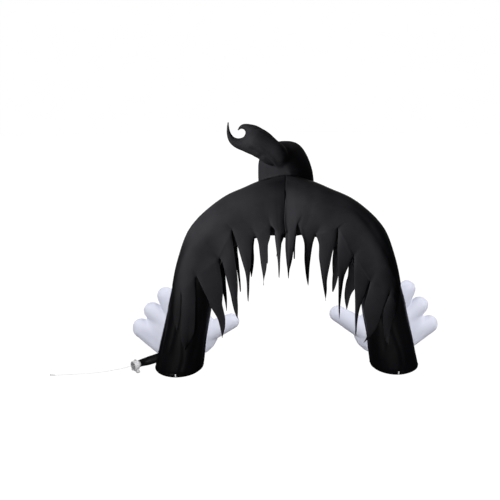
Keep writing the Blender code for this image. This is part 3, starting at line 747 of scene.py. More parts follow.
# Strips from the centre seam outwards: the notch on the outer side (x, height behind, height in
# front), the tip's height in front, how far the middle stands out, and the two cut edges behind.
rightPattern = (
    {"notch": (0.119, 1.908, 1.908), "frontTip": 1.340, "stand": 0.012, "frontShift": 0.115,
     "inner": ((-0.029, 1.735), (-0.028, 1.631), (-0.014, 1.475), (-0.001, 1.381), (0.009, 1.282)),
     "outer": ((0.094, 1.815), (0.079, 1.739), (0.067, 1.631), (0.057, 1.537), (0.038, 1.443),
               (0.018, 1.365), (0.009, 1.282))},
    {"notch": (0.318, 1.775, 1.775), "frontTip": 1.255, "stand": 0.022,
     "inner": ((0.143, 1.823), (0.175, 1.731), (0.188, 1.653), (0.189, 1.512), (0.201, 1.386),
               (0.217, 1.274), (0.236, 1.187)),
     "frontInner": ((0.160, 1.823), (0.200, 1.731), (0.220, 1.653), (0.230, 1.512), (0.238, 1.386),
                    (0.237, 1.274), (0.236, 1.187)),
     "outer": ((0.306, 1.730), (0.286, 1.660), (0.267, 1.543), (0.249, 1.401), (0.241, 1.274),
               (0.236, 1.187))},
    {"notch": (0.571, 1.849, 1.849), "frontTip": 1.085, "stand": 0.034,
     "inner": ((0.340, 1.717), (0.356, 1.651), (0.358, 1.520), (0.371, 1.425), (0.396, 1.264),
               (0.422, 1.102), (0.444, 0.983)),
     "frontInner": ((0.362, 1.717), (0.385, 1.651), (0.400, 1.520), (0.408, 1.425), (0.406, 1.264),
                    (0.422, 1.102), (0.444, 0.983)),
     "outer": ((0.565, 1.775), (0.545, 1.676), (0.515, 1.582), (0.492, 1.456), (0.466, 1.312),
               (0.455, 1.215), (0.456, 1.101), (0.444, 0.983))},
    {"notch": (0.766, 1.521, 1.560), "frontTip": 0.900, "stand": 0.026, "frontShift": -0.028,
     "inner": ((0.574, 1.760), (0.571, 1.655), (0.574, 1.497), (0.583, 1.337), (0.589, 1.208),
               (0.597, 0.928), (0.611, 0.752)),
     "frontInner": ((0.590, 1.760), (0.606, 1.655), (0.617, 1.497), (0.620, 1.337), (0.612, 1.208),
                    (0.605, 0.928), (0.611, 0.752)),
     "outer": ((0.727, 1.432), (0.683, 1.336), (0.655, 1.239), (0.639, 1.093), (0.624, 0.928),
               (0.617, 0.794), (0.611, 0.752))},
    {"notch": (0.974, 1.210, 1.290), "frontTip": 0.650, "stand": 0.030, "frontShift": -0.048,
     "inner": ((0.770, 1.440), (0.771, 1.379), (0.780, 1.217), (0.790, 1.053), (0.797, 0.887),
               (0.801, 0.718), (0.815, 0.534)),
     "outer": ((0.931, 1.085), (0.886, 0.969), (0.857, 0.886), (0.835, 0.786), (0.822, 0.667),
               (0.815, 0.534))},
    {"notch": (1.205, 1.035, 1.200), "frontTip": 1.090, "stand": 0.020, "frontShift": 0.130,
     "inner": ((0.942, 1.055), (0.915, 0.920), (0.926, 0.772), (0.955, 0.600), (0.952, 0.510),
               (0.918, 0.425)),
     "outer": ((1.173, 0.966), (1.129, 0.849), (1.088, 0.671), (1.030, 0.552), (0.918, 0.425))},
    {"notch": (1.335, 0.905, 1.105), "frontTip": 1.050, "stand": 0.012, "frontShift": 0.040,
     "inner": ((1.183, 0.970), (1.150, 0.870), (1.139, 0.780), (1.152, 0.630), (1.173, 0.490),
               (1.216, 0.400)),
     "outer": ((1.318, 0.850), (1.277, 0.749), (1.244, 0.649), (1.228, 0.529), (1.222, 0.448),
               (1.216, 0.400))},
)
leftPattern = (
    {"notch": (0.190, 1.888, 1.888), "frontTip": 1.305, "stand": 0.024,
     "inner": ((0.062, 1.752), (0.075, 1.640), (0.086, 1.523), (0.093, 1.397), (0.100, 1.286)),
     "outer": ((0.152, 1.835), (0.145, 1.740), (0.132, 1.648), (0.117, 1.539), (0.106, 1.445),
               (0.100, 1.286))},
    {"notch": (0.359, 1.766, 1.766), "frontTip": 1.245, "stand": 0.028,
     "inner": ((0.192, 1.830), (0.200, 1.749), (0.223, 1.672), (0.227, 1.594), (0.237, 1.468),
               (0.250, 1.358), (0.267, 1.278), (0.277, 1.189)),
     "outer": ((0.330, 1.672), (0.315, 1.547), (0.304, 1.437), (0.288, 1.310), (0.277, 1.189))},
    {"notch": (0.631, 1.854, 1.854), "frontTip": 1.080, "stand": 0.032,
     "inner": ((0.393, 1.675), (0.409, 1.557), (0.420, 1.431), (0.433, 1.335), (0.442, 1.239),
               (0.447, 1.126), (0.459, 0.987)),
     "outer": ((0.580, 1.683), (0.543, 1.542), (0.515, 1.432), (0.487, 1.320), (0.472, 1.191),
               (0.468, 1.077), (0.459, 0.987))},
    {"notch": (0.787, 1.507, 1.550), "frontTip": 0.890, "stand": 0.034,
     "inner": ((0.620, 1.709), (0.604, 1.553), (0.590, 1.394), (0.581, 1.266), (0.581, 1.153),
               (0.588, 1.038), (0.586, 0.906), (0.592, 0.765)),
     "outer": ((0.751, 1.443), (0.731, 1.364), (0.711, 1.267), (0.689, 1.170), (0.663, 1.055),
               (0.643, 0.940), (0.620, 0.840), (0.592, 0.765))},
    {"notch": (1.054, 1.286, 1.310), "frontTip": 0.645, "stand": 0.030,
     "inner": ((0.769, 1.375), (0.755, 1.230), (0.752, 1.100), (0.763, 1.002), (0.766, 0.936),
               (0.750, 0.852), (0.736, 0.752), (0.744, 0.640), (0.780, 0.508)),
     "frontInner": ((0.785, 1.375), (0.786, 1.230), (0.782, 1.100), (0.776, 1.002), (0.760, 0.936),
                    (0.750, 0.852), (0.744, 0.752), (0.752, 0.640), (0.780, 0.508)),
     "outer": ((1.017, 1.200), (0.976, 1.102), (0.935, 1.012), (0.902, 0.905), (0.858, 0.820),
               (0.823, 0.744), (0.801, 0.641), (0.780, 0.508))},
    {"notch": (1.246, 1.080, 1.210), "frontTip": 1.090, "stand": 0.018, "frontShift": -0.075,
     "inner": ((1.066, 1.192), (1.070, 1.102), (1.078, 0.910), (1.090, 0.714), (1.112, 0.576),
               (1.173, 0.457), (1.223, 0.370)),
     "outer": ((1.246, 0.969), (1.255, 0.814), (1.264, 0.657), (1.264, 0.538), (1.251, 0.447),
               (1.223, 0.370))},
    {"notch": (1.360, 0.960, 1.105), "frontTip": 1.050, "stand": 0.010, "frontShift": -0.025,
     "inner": ((1.251, 0.969), (1.265, 0.834), (1.288, 0.697), (1.312, 0.600)),
     "outer": ((1.358, 0.870), (1.350, 0.780), (1.337, 0.690), (1.312, 0.600))},
)

capeShape = {
    "centreNotch": (0.030, 1.800),
    "columns": 20,  # to each strip
    "seamRows": 5,
    "panelRows": 52,
    "stripRows": 50,
    "pathSteps": 120,
    "clear": 0.009,
    "clothThick": 0.0012,
    "fuller": 0.002,  # each side of a strip, at its tip
    "standKept": 0.45,
    "standShare": 0.5,
    "tipSway": 0.012,
    "seamAngles": (83.0, 60.0),
    "seamWander": (0.020, -0.02, 0.16),  # to the left behind, round this x, over this width
    # painted light and shade behind, as lighter and darker zones: x, z, half width, half height, share of the
    # colour added
    "paintedLightAndShadeZones": (
        # a painted shadow under the hood
        (-0.10, 2.36, 0.34, 0.11, -0.55),
        # painted shade on the left panel beside the seam
        (-0.26, 2.15, 0.26, 0.15, -0.32),
        # painted light on the right panel beside the seam
        (0.12, 2.06, 0.17, 0.16, 0.38),
        # painted shade on the left leg's lower outer strips
        (-1.34, 0.80, 0.13, 0.34, -0.60),
    ),
    # painted shade along the outer side of the left cape, low down
    "leftEdgePaintedShade": 0.65,
    "mapSize": (1.95, 1.35),
}


def stripEdge(notch, cut, tipHeight, shift, rows):
    # points down one cut edge of a strip, from its notch to its tip, fitted to the tip's height and shift
    points = [notch[:2]]
    for x, z in cut:
        share = (z - notch[2]) / (cut[-1][1] - notch[2])
        points.append((x + shift * share, notch[1] + share * (tipHeight - notch[1])))
    return evenRows(throughRows(points, 8), rows, (0, 1))[1:]


def capeColumn(shape, stand, n, u, capeU, notches, edges, side):
    # one column of a strip, from the top seam to the strip's end: x, depth behind the plane, z
    spot = capeU * archShape["capeShare"] * archShape["coarseStations"]
    low = min(int(spot), archShape["coarseStations"] - 1)
    ring = between(tubeRings[low], tubeRings[low + 1], spot - low)
    first, final = shape["seamAngles"]
    top = []
    for k in range(shape["seamRows"]):
        share = k / shape["seamRows"]
        point = ringPoint(ring, math.radians(first + (final - first) * share), 0.001 + 0.004 * share)
        top.append((point.x, -(point.y - planeY), point.z))
    start = ringPoint(ring, math.radians(final), 0.005)
    end = between(*notches, u)
    share = np.linspace(0.0, 1.0, shape["pathSteps"] + 1)
    x, z = start.x + (end[0] - start.x) * share, start.z + (end[1] - start.z) * share
    depth = np.maximum.accumulate(tubeDepth(x, z))
    steps = np.sqrt(np.diff(x) ** 2 + np.diff(z) ** 2 + np.diff(depth) ** 2)
    along = np.concatenate(([0.0], np.cumsum(steps)))
    even = np.linspace(0.0, along[-1], shape["panelRows"] + 1)
    x, z = np.interp(even, along, x), np.interp(even, along, z)
    v = np.arange(1, shape["stripRows"] + 1) / shape["stripRows"]
    full = shape["fuller"]
    ends = [between((a[0] - full * s, a[1]), (b[0] + full * s, b[1]), u) for a, b, s in zip(*edges, v)]
    x, z = np.concatenate((np.stack((x, z), 1), ends)).T
    # the strip's middle stands out, most at its notches
    stand = shape["standShare"] * stand * (4 * u * (1 - u))
    kept = 1 - (1 - shape["standKept"]) * v
    sway = shape["tipSway"] * v * math.sin(1.7 * n + side)
    stand = np.concatenate((stand * np.linspace(0.0, 1.0, shape["panelRows"] + 1) ** 6, stand * kept + sway))
    depth = np.maximum(tubeDepth(x, z) + shape["clear"], -(start.y - planeY))
    depth = np.maximum.accumulate(depth) + np.maximum(stand, 0.0)
    return top + list(zip(x, depth, z))


def capeRelief(strips, n, u, rowShare, v, seed):
    # how far the cloth rises off its plain hang at a point, and how much of the centre's valley it takes
    column = n + u
    out = 0.0
    if rowShare < 1.0:
        # faint valleys run up from each notch
        for k in range(1, strips):
            out -= 0.004 * hump(column - k, 0.07 + 0.20 * (1 - rowShare)) * smoothStep(0.72, 1.0, rowShare)
        # a long soft fold where the cape leaves the tube's top
        fold = 0.30 + 0.04 * math.sin(column * 1.4 + seed) + 0.06 * soft(column * 0.9, seed)
        out -= 0.0035 * hump(rowShare - fold, 0.07)
        out += 0.0045 * hump(rowShare - fold - 0.15, 0.12)
        # soft flutes, and the gathers of the top seam
        out += 0.0030 * soft(column * 2.2 + seed, rowShare * 1.1, seed) * smoothStep(0.05, 0.4, rowShare)
        out += 0.0008 * math.cos(column * 44.0) * math.exp(-rowShare / 0.04)
        return out, smoothStep(-0.02, 0.12, rowShare)
    for edge in (u, 1 - u):
        out -= 0.007 * hump(edge, 0.08 + 0.10 * v) * (1 - smoothStep(0.0, 0.3, v))
    out += 0.004 * soft(n * 3.1 + seed, v * 2.2, u * 1.5)
    out += 0.004 * math.sin(5.0 * v + n * 2.2 + seed) * (2 * u - 1)
    return out, 1 - 0.7 * smoothStep(0.0, 0.8, v)


def paintedCapeShade(spot, side, shape):
    # painted light and shade: the share of the cape's colour kept at a point
    share = 1.0
    for x, z, wide, high, added in shape["paintedLightAndShadeZones"]:
        share += added * hump(spot.x - x, wide) * hump(spot.z - z, high)
    # painted shade where the left cape wraps round to the outer side, low down
    if side < 0:
        edge = smoothStep(0.235, 0.130, planeY - spot.y) * smoothStep(1.80, 1.50, spot.z)
        share -= shape["leftEdgePaintedShade"] * edge
    return max(share, 0.1)


def cutLines(shape, strips, centreX, front, side):
    # every column of every strip
    centreZ = shape["centreNotch"][1]
    lines, inner = [], (centreX, centreZ, centreZ)
    for n, strip in enumerate(strips):
        x, behind, ahead = strip["notch"]
        outer = (x, ahead if front else behind, behind)
        tip, shift, cut = strip["inner"][-1][1], 0.0, strip["inner"]
        if front:
            tip, shift, cut = strip["frontTip"], strip.get("frontShift", 0.0), strip.get("frontInner", cut)
        edges = [
            stripEdge(notch, line, tip, shift, shape["stripRows"])
            for notch, line in ((inner, cut), (outer, strip["outer"]))
        ]
        columns = [k / shape["columns"] for k in range(shape["columns"] + 1)]
        lines.append([
            capeColumn(shape, strip["stand"], n, u, (n + u) / len(strips), (inner, outer), edges, side)
            for u in columns
        ])
        inner = outer
    return lines


def addCape(name, node, strips, centreX, front, side, seed):
    shape = capeShape
    across = len(strips) * shape["columns"]
    notchRow = shape["seamRows"] + shape["panelRows"]
    down = notchRow + shape["stripRows"]
    bm = clothGrid(across, down, shape["mapSize"])
    # a layer for the painted light and shade
    paintedShade = bm.verts.layers.float.new("paintedShade")
    # the slits between the strips
    slits = []
    for edge in bm.edges:
        a, b = (vert.co for vert in edge.verts)
        at = a.x * len(strips)
        if abs(a.x - b.x) < 1e-6 and abs(at - round(at)) < 1e-4 and 0 < round(at) < len(strips):
            if min(a.y, b.y) * down > notchRow - 0.5:
                slits.append(edge)
    bmesh.ops.split_edges(bm, edges=slits)
    # each point's strip, column and row
    spots = {}
    for vert in bm.verts:
        middle = sum(face.calc_center_median().x for face in vert.link_faces) / len(vert.link_faces)
        n = min(int(middle * len(strips)), len(strips) - 1)
        spots[vert] = (n, round(vert.co.x * across) - n * shape["columns"], round(vert.co.y * down))
    lines = cutLines(shape, strips, centreX, front, side)
    way = 1.0 if front else -1.0
    for vert, (n, k, r) in spots.items():
        x, depth, z = lines[n][k][r]
        vert.co = (side * x, planeY + way * depth, z)
    bm.normal_update()
    if sum(face.normal.y * face.calc_area() for face in bm.faces) * way < 0:
        bmesh.ops.reverse_faces(bm, faces=bm.faces)
        bm.normal_update()
    moves = []
    wander, wanderX, wanderWide = shape["seamWander"]
    for vert, (n, k, r) in spots.items():
        v = max(r - notchRow, 0) / shape["stripRows"]
        rowShare = min(r / notchRow, 0.9999) if v == 0 else 1.0
        rise, fade = capeRelief(len(strips), n, k / shape["columns"], rowShare, v, seed)
        x, z = vert.co.x, vert.co.z
        # the centre seam lies in a valley, and wanders a little behind
        sink = seamValley(abs(x), x) * fade * (0.25 if front else 1.0)
        aside = 0.0
        if not front:
            aside = wander * max(1 - abs(x - wanderX) / wanderWide, 0.0) * smoothStep(1.80, 1.95, z)
        moves.append(vert.normal * rise + Vector((-aside, -way * sink, 0.0)))
    for vert, move in zip(spots, moves):
        vert.co += move
        vert.co.z += shoulderLift(vert.co)
        # painted light and shade behind; the front capes keep their plain colour
        vert[paintedShade] = 1.0 if front else paintedCapeShade(vert.co, side, shape)
    piece = addPiece(name, bm, capeCloth, node, sharpAngle=60)
    thick = piece.modifiers.new("cloth", "SOLIDIFY")
    thick.thickness = shape["clothThick"]
    thick.offset = 1.0
    print(name, "made,", round(sum(face.area for face in piece.data.polygons), 3), "m2")


notchX = capeShape["centreNotch"][0]
addCape("capeBackRight", "cape_back_right", rightPattern, -notchX, False, 1, 1.3)
addCape("capeBackLeft", "cape_back_left", leftPattern, notchX, False, -1, 4.1)
addCape("capeFrontLeft", "cape_front_left", rightPattern, -notchX, True, -1, 7.7)
addCape("capeFrontRight", "cape_front_right", leftPattern, notchX, True, 1, 9.2)
print("capes made")


# The hood and the hands: closed forms joined and softened as one skin.

def applyModifiers(piece):
    bpy.context.view_layer.update()
    mesh = bpy.data.meshes.new_from_object(piece.evaluated_get(bpy.context.evaluated_depsgraph_get()))
    piece.modifiers.clear()
    piece.data = mesh


def evenSkin(name, bm, shape, zone):
    # the forms' outer skin as an even mesh, softened all over and more inside the zone
    source = addObject(name, meshFrom(name, bm))
    even = source.modifiers.new("even", "REMESH")
    even.mode = "VOXEL"
    even.voxel_size = shape["voxel"]
    applyModifiers(source)
    group = source.vertex_groups.new(name="zone")
    for vert in source.data.vertices:
        group.add([vert.index], zone(vert.co), "REPLACE")
    for part, steps in (("zone", shape["zoneSteps"]), ("", shape["calmSteps"])):
        calm = source.modifiers.new("calm", "SMOOTH")
        calm.vertex_group = part
        calm.iterations = steps
        calm.factor = 0.5
    applyModifiers(source)
    bm = bmesh.new()
    bm.from_mesh(source.data)
    bpy.data.meshes.remove(source.data)
    bm.normal_update()
    return bm


def pushOut(bm, relief):
    # moves each point along its normal by its own relief
    moves = [vert.normal * relief(vert.co) for vert in bm.verts]
    for vert, move in zip(bm.verts, moves):
        vert.co += move


hoodShape = {
    "domeRows": (
        # height, half-width on the right, on the left, depth in front, depth behind
        (2.030, 0.330, 0.326, 0.190, 0.225), (2.240, 0.334, 0.330, 0.192, 0.225),
        (2.320, 0.332, 0.330, 0.192, 0.228), (2.410, 0.320, 0.330, 0.192, 0.236),
        (2.456, 0.311, 0.328, 0.190, 0.250), (2.544, 0.284, 0.322, 0.183, 0.272),
        (2.641, 0.239, 0.292, 0.168, 0.280), (2.721, 0.184, 0.228, 0.140, 0.240),
        (2.768, 0.122, 0.145, 0.100, 0.150), (2.788, 0.055, 0.060, 0.048, 0.060),
        (2.790, 0.002, 0.002, 0.002, 0.002),
    ),
    "middle": (-0.008, 0.180),
    # height, x of the ridge behind
    "keel": (
        (2.030, 0.050), (2.410, 0.035), (2.520, -0.008), (2.646, -0.046), (2.783, -0.086), (2.800, -0.030),
    ),
    "keelPower": 1.35,
    "around": 128,
    "floorRows": 16,
    "wallRows": 70,
    "floor": 2.05,
    "baseLift": 0.004,
    "baseSunk": 0.012,  # over the capes
    # the folded point fans out between its upper spine and its keel: x, y, z, radius
    "tail": (
        (-0.180, 0.050, 2.580, 0.060), (-0.190, 0.020, 2.612, 0.104), (-0.205, 0.004, 2.655, 0.136),
        (-0.230, 0.000, 2.705, 0.147), (-0.272, 0.000, 2.745, 0.157), (-0.342, 0.000, 2.796, 0.155),
    ),
    "keelTail": (
        (-0.026, 0.030, 2.515, 0.052), (-0.044, 0.002, 2.560, 0.088), (-0.078, -0.026, 2.615, 0.110),
        (-0.122, -0.042, 2.672, 0.114), (-0.178, -0.040, 2.716, 0.116), (-0.262, -0.018, 2.770, 0.126),
    ),
    "tailSpines": 6,
    "longProng": (
        (-0.337, 0.0, 2.743, 0.120), (-0.408, 0.0, 2.755, 0.104), (-0.479, 0.0, 2.766, 0.084),
        (-0.556, 0.0, 2.776, 0.059), (-0.618, 0.0, 2.810, 0.043), (-0.653, 0.0, 2.870, 0.029),
        (-0.664, 0.0, 2.939, 0.017), (-0.661, 0.0, 3.008, 0.008),
    ),
    "shortProng": (
        (-0.326, 0.0, 2.851, 0.100), (-0.393, 0.0, 2.909, 0.080), (-0.449, 0.0, 2.949, 0.046),
        (-0.496, 0.0, 2.961, 0.027), (-0.528, 0.0, 2.948, 0.016), (-0.552, 0.0, 2.924, 0.008),
    ),
    # where the forms grow together: x, y, z, reach
    "joins": (
        (-0.22, -0.05, 2.58, 0.08), (-0.12, -0.07, 2.54, 0.08), (-0.03, -0.10, 2.52, 0.08),
        (-0.31, -0.02, 2.60, 0.11), (-0.14, 0.02, 2.79, 0.12), (-0.46, 0.00, 2.84, 0.12),
    ),
    # the opening in front: middle x and z, half width and height, how deep it is drawn in, and its rim
    "opening": (-0.004, 2.445, 0.205, 0.250, 0.110, 0.010),
    "voxel": 0.0065,
    "calmSteps": 6,
    "zoneSteps": 70,
}


def tubeTop(x, y, lift):
    # the height of the tube's top, raised by lift, above the point (x, y)
    ring = rowAt(tubeRings, abs(x))
    reach = ring[2] + lift
    return ring[1] + math.sqrt(max(reach * reach - y * y, 0.0))


def addDome(bm, shape):
    top = shape["domeRows"][-1][0]
    rows = throughRows(shape["domeRows"], 8)
    keel = throughRows(shape["keel"], 6)
    middleX, middleY = shape["middle"]
    floorRows, wallRows = shape["floorRows"], shape["wallRows"]

    def ringSpot(height, u):
        _, right, left, front, back = rowAt(rows, height)
        angle = 2 * math.pi * u
        across, along = math.cos(angle), math.sin(angle)
        wide = right if across > 0 else left
        if along >= 0:
            return middleX + wide * across, middleY + front * along
        # behind, two flatter sides meet in a soft ridge
        power = 2 / shape["keelPower"]
        ridge = rowAt(keel, height)[1]
        edge = middleX + math.copysign(wide, across)
        return ridge + (edge - ridge) * abs(across) ** power, middleY - back * abs(along) ** power

    def base(x, y):
        lift = shape["baseLift"] - shape["baseSunk"] * smoothStep(0.070, 0.110, abs(y))
        return max(tubeTop(x, y, lift), shape["floor"])

    def place(u, v):
        step = v * (floorRows + wallRows)
        height = 2.3
        for _ in range(4):
            x, y = ringSpot(height, u)
            height = base(x, y)
        if step <= floorRows:
            share = step / floorRows
            x, y = middleX + (x - middleX) * share, middleY + (y - middleY) * share
            return Vector((x, y, base(x, y)))
        share = (step - floorRows) / wallRows
        if share > 0.999:
            return Vector((middleX, middleY, top))
        height += (top - height) * (1 - (1 - share) ** 1.6)
        return Vector((*ringSpot(height, u), height))

    mergeInto(bm, rolledGrid(shape["around"], floorRows + wallRows, place))


def blendZone(spot):
    # 1 where the folded point grows out of the dome and the prongs out of the point
    nearest = min((spot - Vector(join[:3])).length / join[3] for join in hoodShape["joins"])
    return 1 - smoothStep(0.6, 1.0, nearest)


def hoodRelief(spot):
    # creases, measured about the arch's own plane
    out = 0.0035 * soft(spot.x * 5, spot.y * 5, spot.z * 5)
    # behind, a long ridge on the folded point with a hollow below it
    if spot.y < 0.03 and spot.x < -0.10:
        share = min(max((spot.x + 0.46) / 0.34, 0.0), 1.0)
        off = spot.z - (2.795 - 0.085 * share - 0.150 * share * share)
        strength = smoothStep(0.0, 0.25, share) * smoothStep(-0.03, 0.04, -spot.y)
        strength *= smoothStep(0.10, 0.16, -spot.x)
        out += strength * (0.010 * hump(off, 0.030) - 0.013 * hump(off + 0.065, 0.034))
    return out


def hoodOpening(spot, opening):
    # how far a point of the hood's front is moved along Y: a rolled rim round a drawn-in hollow
    x, z, wide, high, deep, rim = opening
    off = math.hypot((spot.x - x) / wide, (spot.z - z) / high)
    return smoothStep(0.02, 0.10, spot.y) * (rim * hump(off - 1.0, 0.12) - deep * smoothStep(1.0, 0.25, off))


def addHood(shape):
    bm = bmesh.new()
    addDome(bm, shape)
    for k in range(shape["tailSpines"]):
        share = k / (shape["tailSpines"] - 1)
        roundTube(bm, [between(a, b, share) for a, b in zip(shape["tail"], shape["keelTail"])], 40, 8)
    for prong in ("longProng", "shortProng"):
        roundTube(bm, shape[prong], 32, 8)
    bm = evenSkin("hoodForms", bm, shape, blendZone)
    pushOut(bm, hoodRelief)
    for vert in bm.verts:
        vert.co.y += hoodOpening(vert.co, shape["opening"])
    bmesh.ops.translate(bm, vec=(0.0, planeY, 0.0), verts=bm.verts)
    hood = addPiece("hoodShell", bm, hoodCloth, "hood")


handShape = {
    "middle": 0.327,
    "flatter": 0.86,
    "waves": (0.004, 5.0),  # height, and how many to the metre
    "voxel": 0.008,
    "calmSteps": 10,
    "zoneSteps": 110,
    # x, z and radius of the fullness between the little finger and the heel of the palm
    "leftHeel": ((-1.905, 0.351, 0.107), (-1.777, 0.228, 0.107), (-1.648, 0.104, 0.107)),
    "rightHeel": ((1.903, 0.371, 0.107), (1.780, 0.272, 0.107), (1.658, 0.173, 0.107)),
}


def handZone(spot):
    # the palm and the back of the hand, away from its outline
    return smoothStep(0.055, 0.100, abs(spot.y - handShape["middle"]))


def straightHeel(spot, heel, middle):
    # what draws a point that bulges beyond the heel's straight lower edge back to it
    x, z, radius = heel[0]
    run = Vector((heel[-1][0] - x, heel[-1][1] - z)).normalized()
    down = Vector((run.y, -run.x)) * math.copysign(1.0, run.x)
    off = Vector((spot.x - x, spot.z - z))
    allowed = math.sqrt(max(radius * radius - (spot.y - middle) ** 2, 0.0))
    beyond = max(off.dot(down) - allowed, 0.0) * smoothStep(0.0, 0.06, off.dot(run))
    return Vector((-down.x * beyond, 0.0, -down.y * beyond))


def addHand(name, node, heel, shape):
    # the node's own fingers and palm, its loose triangles joined
    bm = bmesh.new()
    bm.from_mesh(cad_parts[node].data)
    bmesh.ops.remove_doubles(bm, verts=bm.verts, dist=1e-5)
    middle = shape["middle"]
    roundTube(bm, [(x, middle, z, radius) for x, z, radius in heel], 32, 6)
    bm = evenSkin(name + "Forms", bm, shape, handZone)
    high, scale = shape["waves"]
    pushOut(bm, lambda spot: high * soft(*(spot * scale)))
    for vert in bm.verts:
        vert.co += straightHeel(vert.co, heel, middle)
        vert.co.y = middle + (vert.co.y - middle) * shape["flatter"]
        vert.co.z = max(vert.co.z, 0.0)
    hand = addPiece(name, bm, handCloth, node)


addHood(hoodShape)
addHand("leftHand", "left_hand", handShape["leftHeel"], handShape)
addHand("rightHand", "right_hand", handShape["rightHeel"], handShape)
print("hood and hands made")


# The air sleeve between the fan and the left leg.

sleeveShape = {
    "rows": (
        # x, y from the arch's plane, z, radius
        (-1.806, -0.014, 0.080, 0.047), (-1.762, 0.010, 0.084, 0.052), (-1.697, 0.012, 0.104, 0.054),
        (-1.634, 0.002, 0.130, 0.054), (-1.600, -0.003, 0.142, 0.055),
    ),
    "around": 64,
    "along": 150,
    "mapWide": 0.32,
    "overCollar": (0.014, 0.003),  # how far on, and how much wider there
    "band": (0.0022, 0.0024, 0.005, 1.6),  # off the collar, half thick, place along it, its width to that
}


def sleeveRelief(angle, along, length):
    # wrinkle rings, and gathers where the sleeve is tied at one end and sewn on at the other
    rings = math.cos(along * 250.0 + 2.0 * soft(along * 9, angle * 0.6, 3.0) * 6)
    rings *= smoothStep(0.004, 0.03, along)
    out = 0.0011 * rings * (0.55 + soft(along * 14, angle * 1.3, 8.0))
    out += 0.0022 * soft(math.cos(angle) * 1.5, math.sin(angle) * 1.5, along * 16)
    out += 0.0011 * math.cos(17 * angle) * math.exp(-along / 0.016)
    out += 0.0013 * math.cos(13 * angle + 1.0) * math.exp(-(length - along) / 0.028)
    return out - 0.0012 * hump(turnFrom(0.0, math.degrees(angle)), 3.5)


def addSleeve(shape, fan):
    first = fan["half"] + 2 * fan["gap"] + fan["collarLong"]
    on, wider = shape["overCollar"]
    rows = [
        (*(fanMatrix @ Vector((first, 0, 0))), fan["collarRadius"]),
        (*(fanMatrix @ Vector((first + on, 0, 0))), fan["collarRadius"] + wider),
    ]
    rows += [(x, y + planeY, z, radius) for x, y, z, radius in shape["rows"]]
    points = evenRows(throughRows(rows, 14), shape["along"], (0, 1, 2))
    centres = [Vector(point[:3]) for point in points]
    last = len(points) - 1
    length = sum((b - a).length for a, b in zip(centres, centres[1:]))

    def place(u, v):
        step = v * (last + 2) - 1
        i = min(max(round(step), 0), last)
        run = (centres[min(i + 1, last)] - centres[max(i - 1, 0)]).normalized()
        if step < -0.5 or step > last + 0.5:
            return centres[i]
        side = run.cross(Vector((0.0, 0.0, 1.0))).normalized()
        angle = 2 * math.pi * u
        reach = points[i][3] + sleeveRelief(angle, length * i / last, length)
        return centres[i] + reach * (side * math.sin(angle) - side.cross(run) * math.cos(angle))

    bm = rolledGrid(shape["around"], last + 2, place, (shape["mapWide"], length))
    # the tie round the collar
    off, thick, along, tall = shape["band"]
    at = fanMatrix @ Matrix.Translation((first, 0, 0)) @ Matrix.Rotation(math.pi / 2, 4, "Y")
    hoop(bm, fan["collarRadius"] + off, thick, along, 64, at, tall)
    sleeve = addPiece("airSleeve", bm, sleeveCloth, "air_sleeve")


addSleeve(sleeveShape, fanShape)


# The fan.

intakePlace = fanMatrix @ Matrix.Translation((-fanShape["half"], 0, 0))
intakePlace = intakePlace @ Matrix.Rotation(-math.pi / 2, 4, "Y")
axisPlace = fanMatrix @ Matrix.Rotation(math.pi / 2, 4, "Y")

housingShape = {
    # radius and distance along the air's way, from the outlet side to the floor of the throat
    "profile": (
        (0.0, 0.0310), (0.0500, 0.0310), (0.0535, 0.0305), (0.0540, 0.0290), (0.0585, 0.0285),
        (0.0610, 0.0268), (0.0620, 0.0240), (0.0620, 0.0200), (0.0606, 0.0190), (0.0604, 0.0034),
        (0.0620, 0.0024), (0.0620, -0.0024), (0.0604, -0.0034), (0.0606, -0.0190), (0.0620, -0.0200),
        (0.0620, -0.0245), (0.0612, -0.0280), (0.0588, -0.0302), (0.0555, -0.0310), (0.0530, -0.0310),
        (0.0524, -0.0302), (0.0458, -0.0302), (0.0450, -0.0290), (0.0450, -0.0175), (0.0, -0.0175),
    ),
    "ribs": 10,
    "ribSize": (0.0148, 0.0026, 0.0022),
    "ribAt": (0.0111, 0.0606),  # along the drum each way, and out from its axis
}


def addHousing(shape):
    bm = bmesh.new()
    turned(bm, shape["profile"], 96, axisPlace)
    # low stiffening ribs between the bands
    along, out = shape["ribAt"]
    for k in range(shape["ribs"]):
        turn = fanMatrix @ Matrix.Rotation(2 * math.pi * (k + 0.5) / shape["ribs"], 4, "X")
        for side in (-1, 1):
            block(bm, shape["ribSize"], 0.0007, turn @ Matrix.Translation((side * along, 0.0, out)))
    addPiece("fanHousing", bm, palePlastic, "fan_drum", sharpAngle=35)


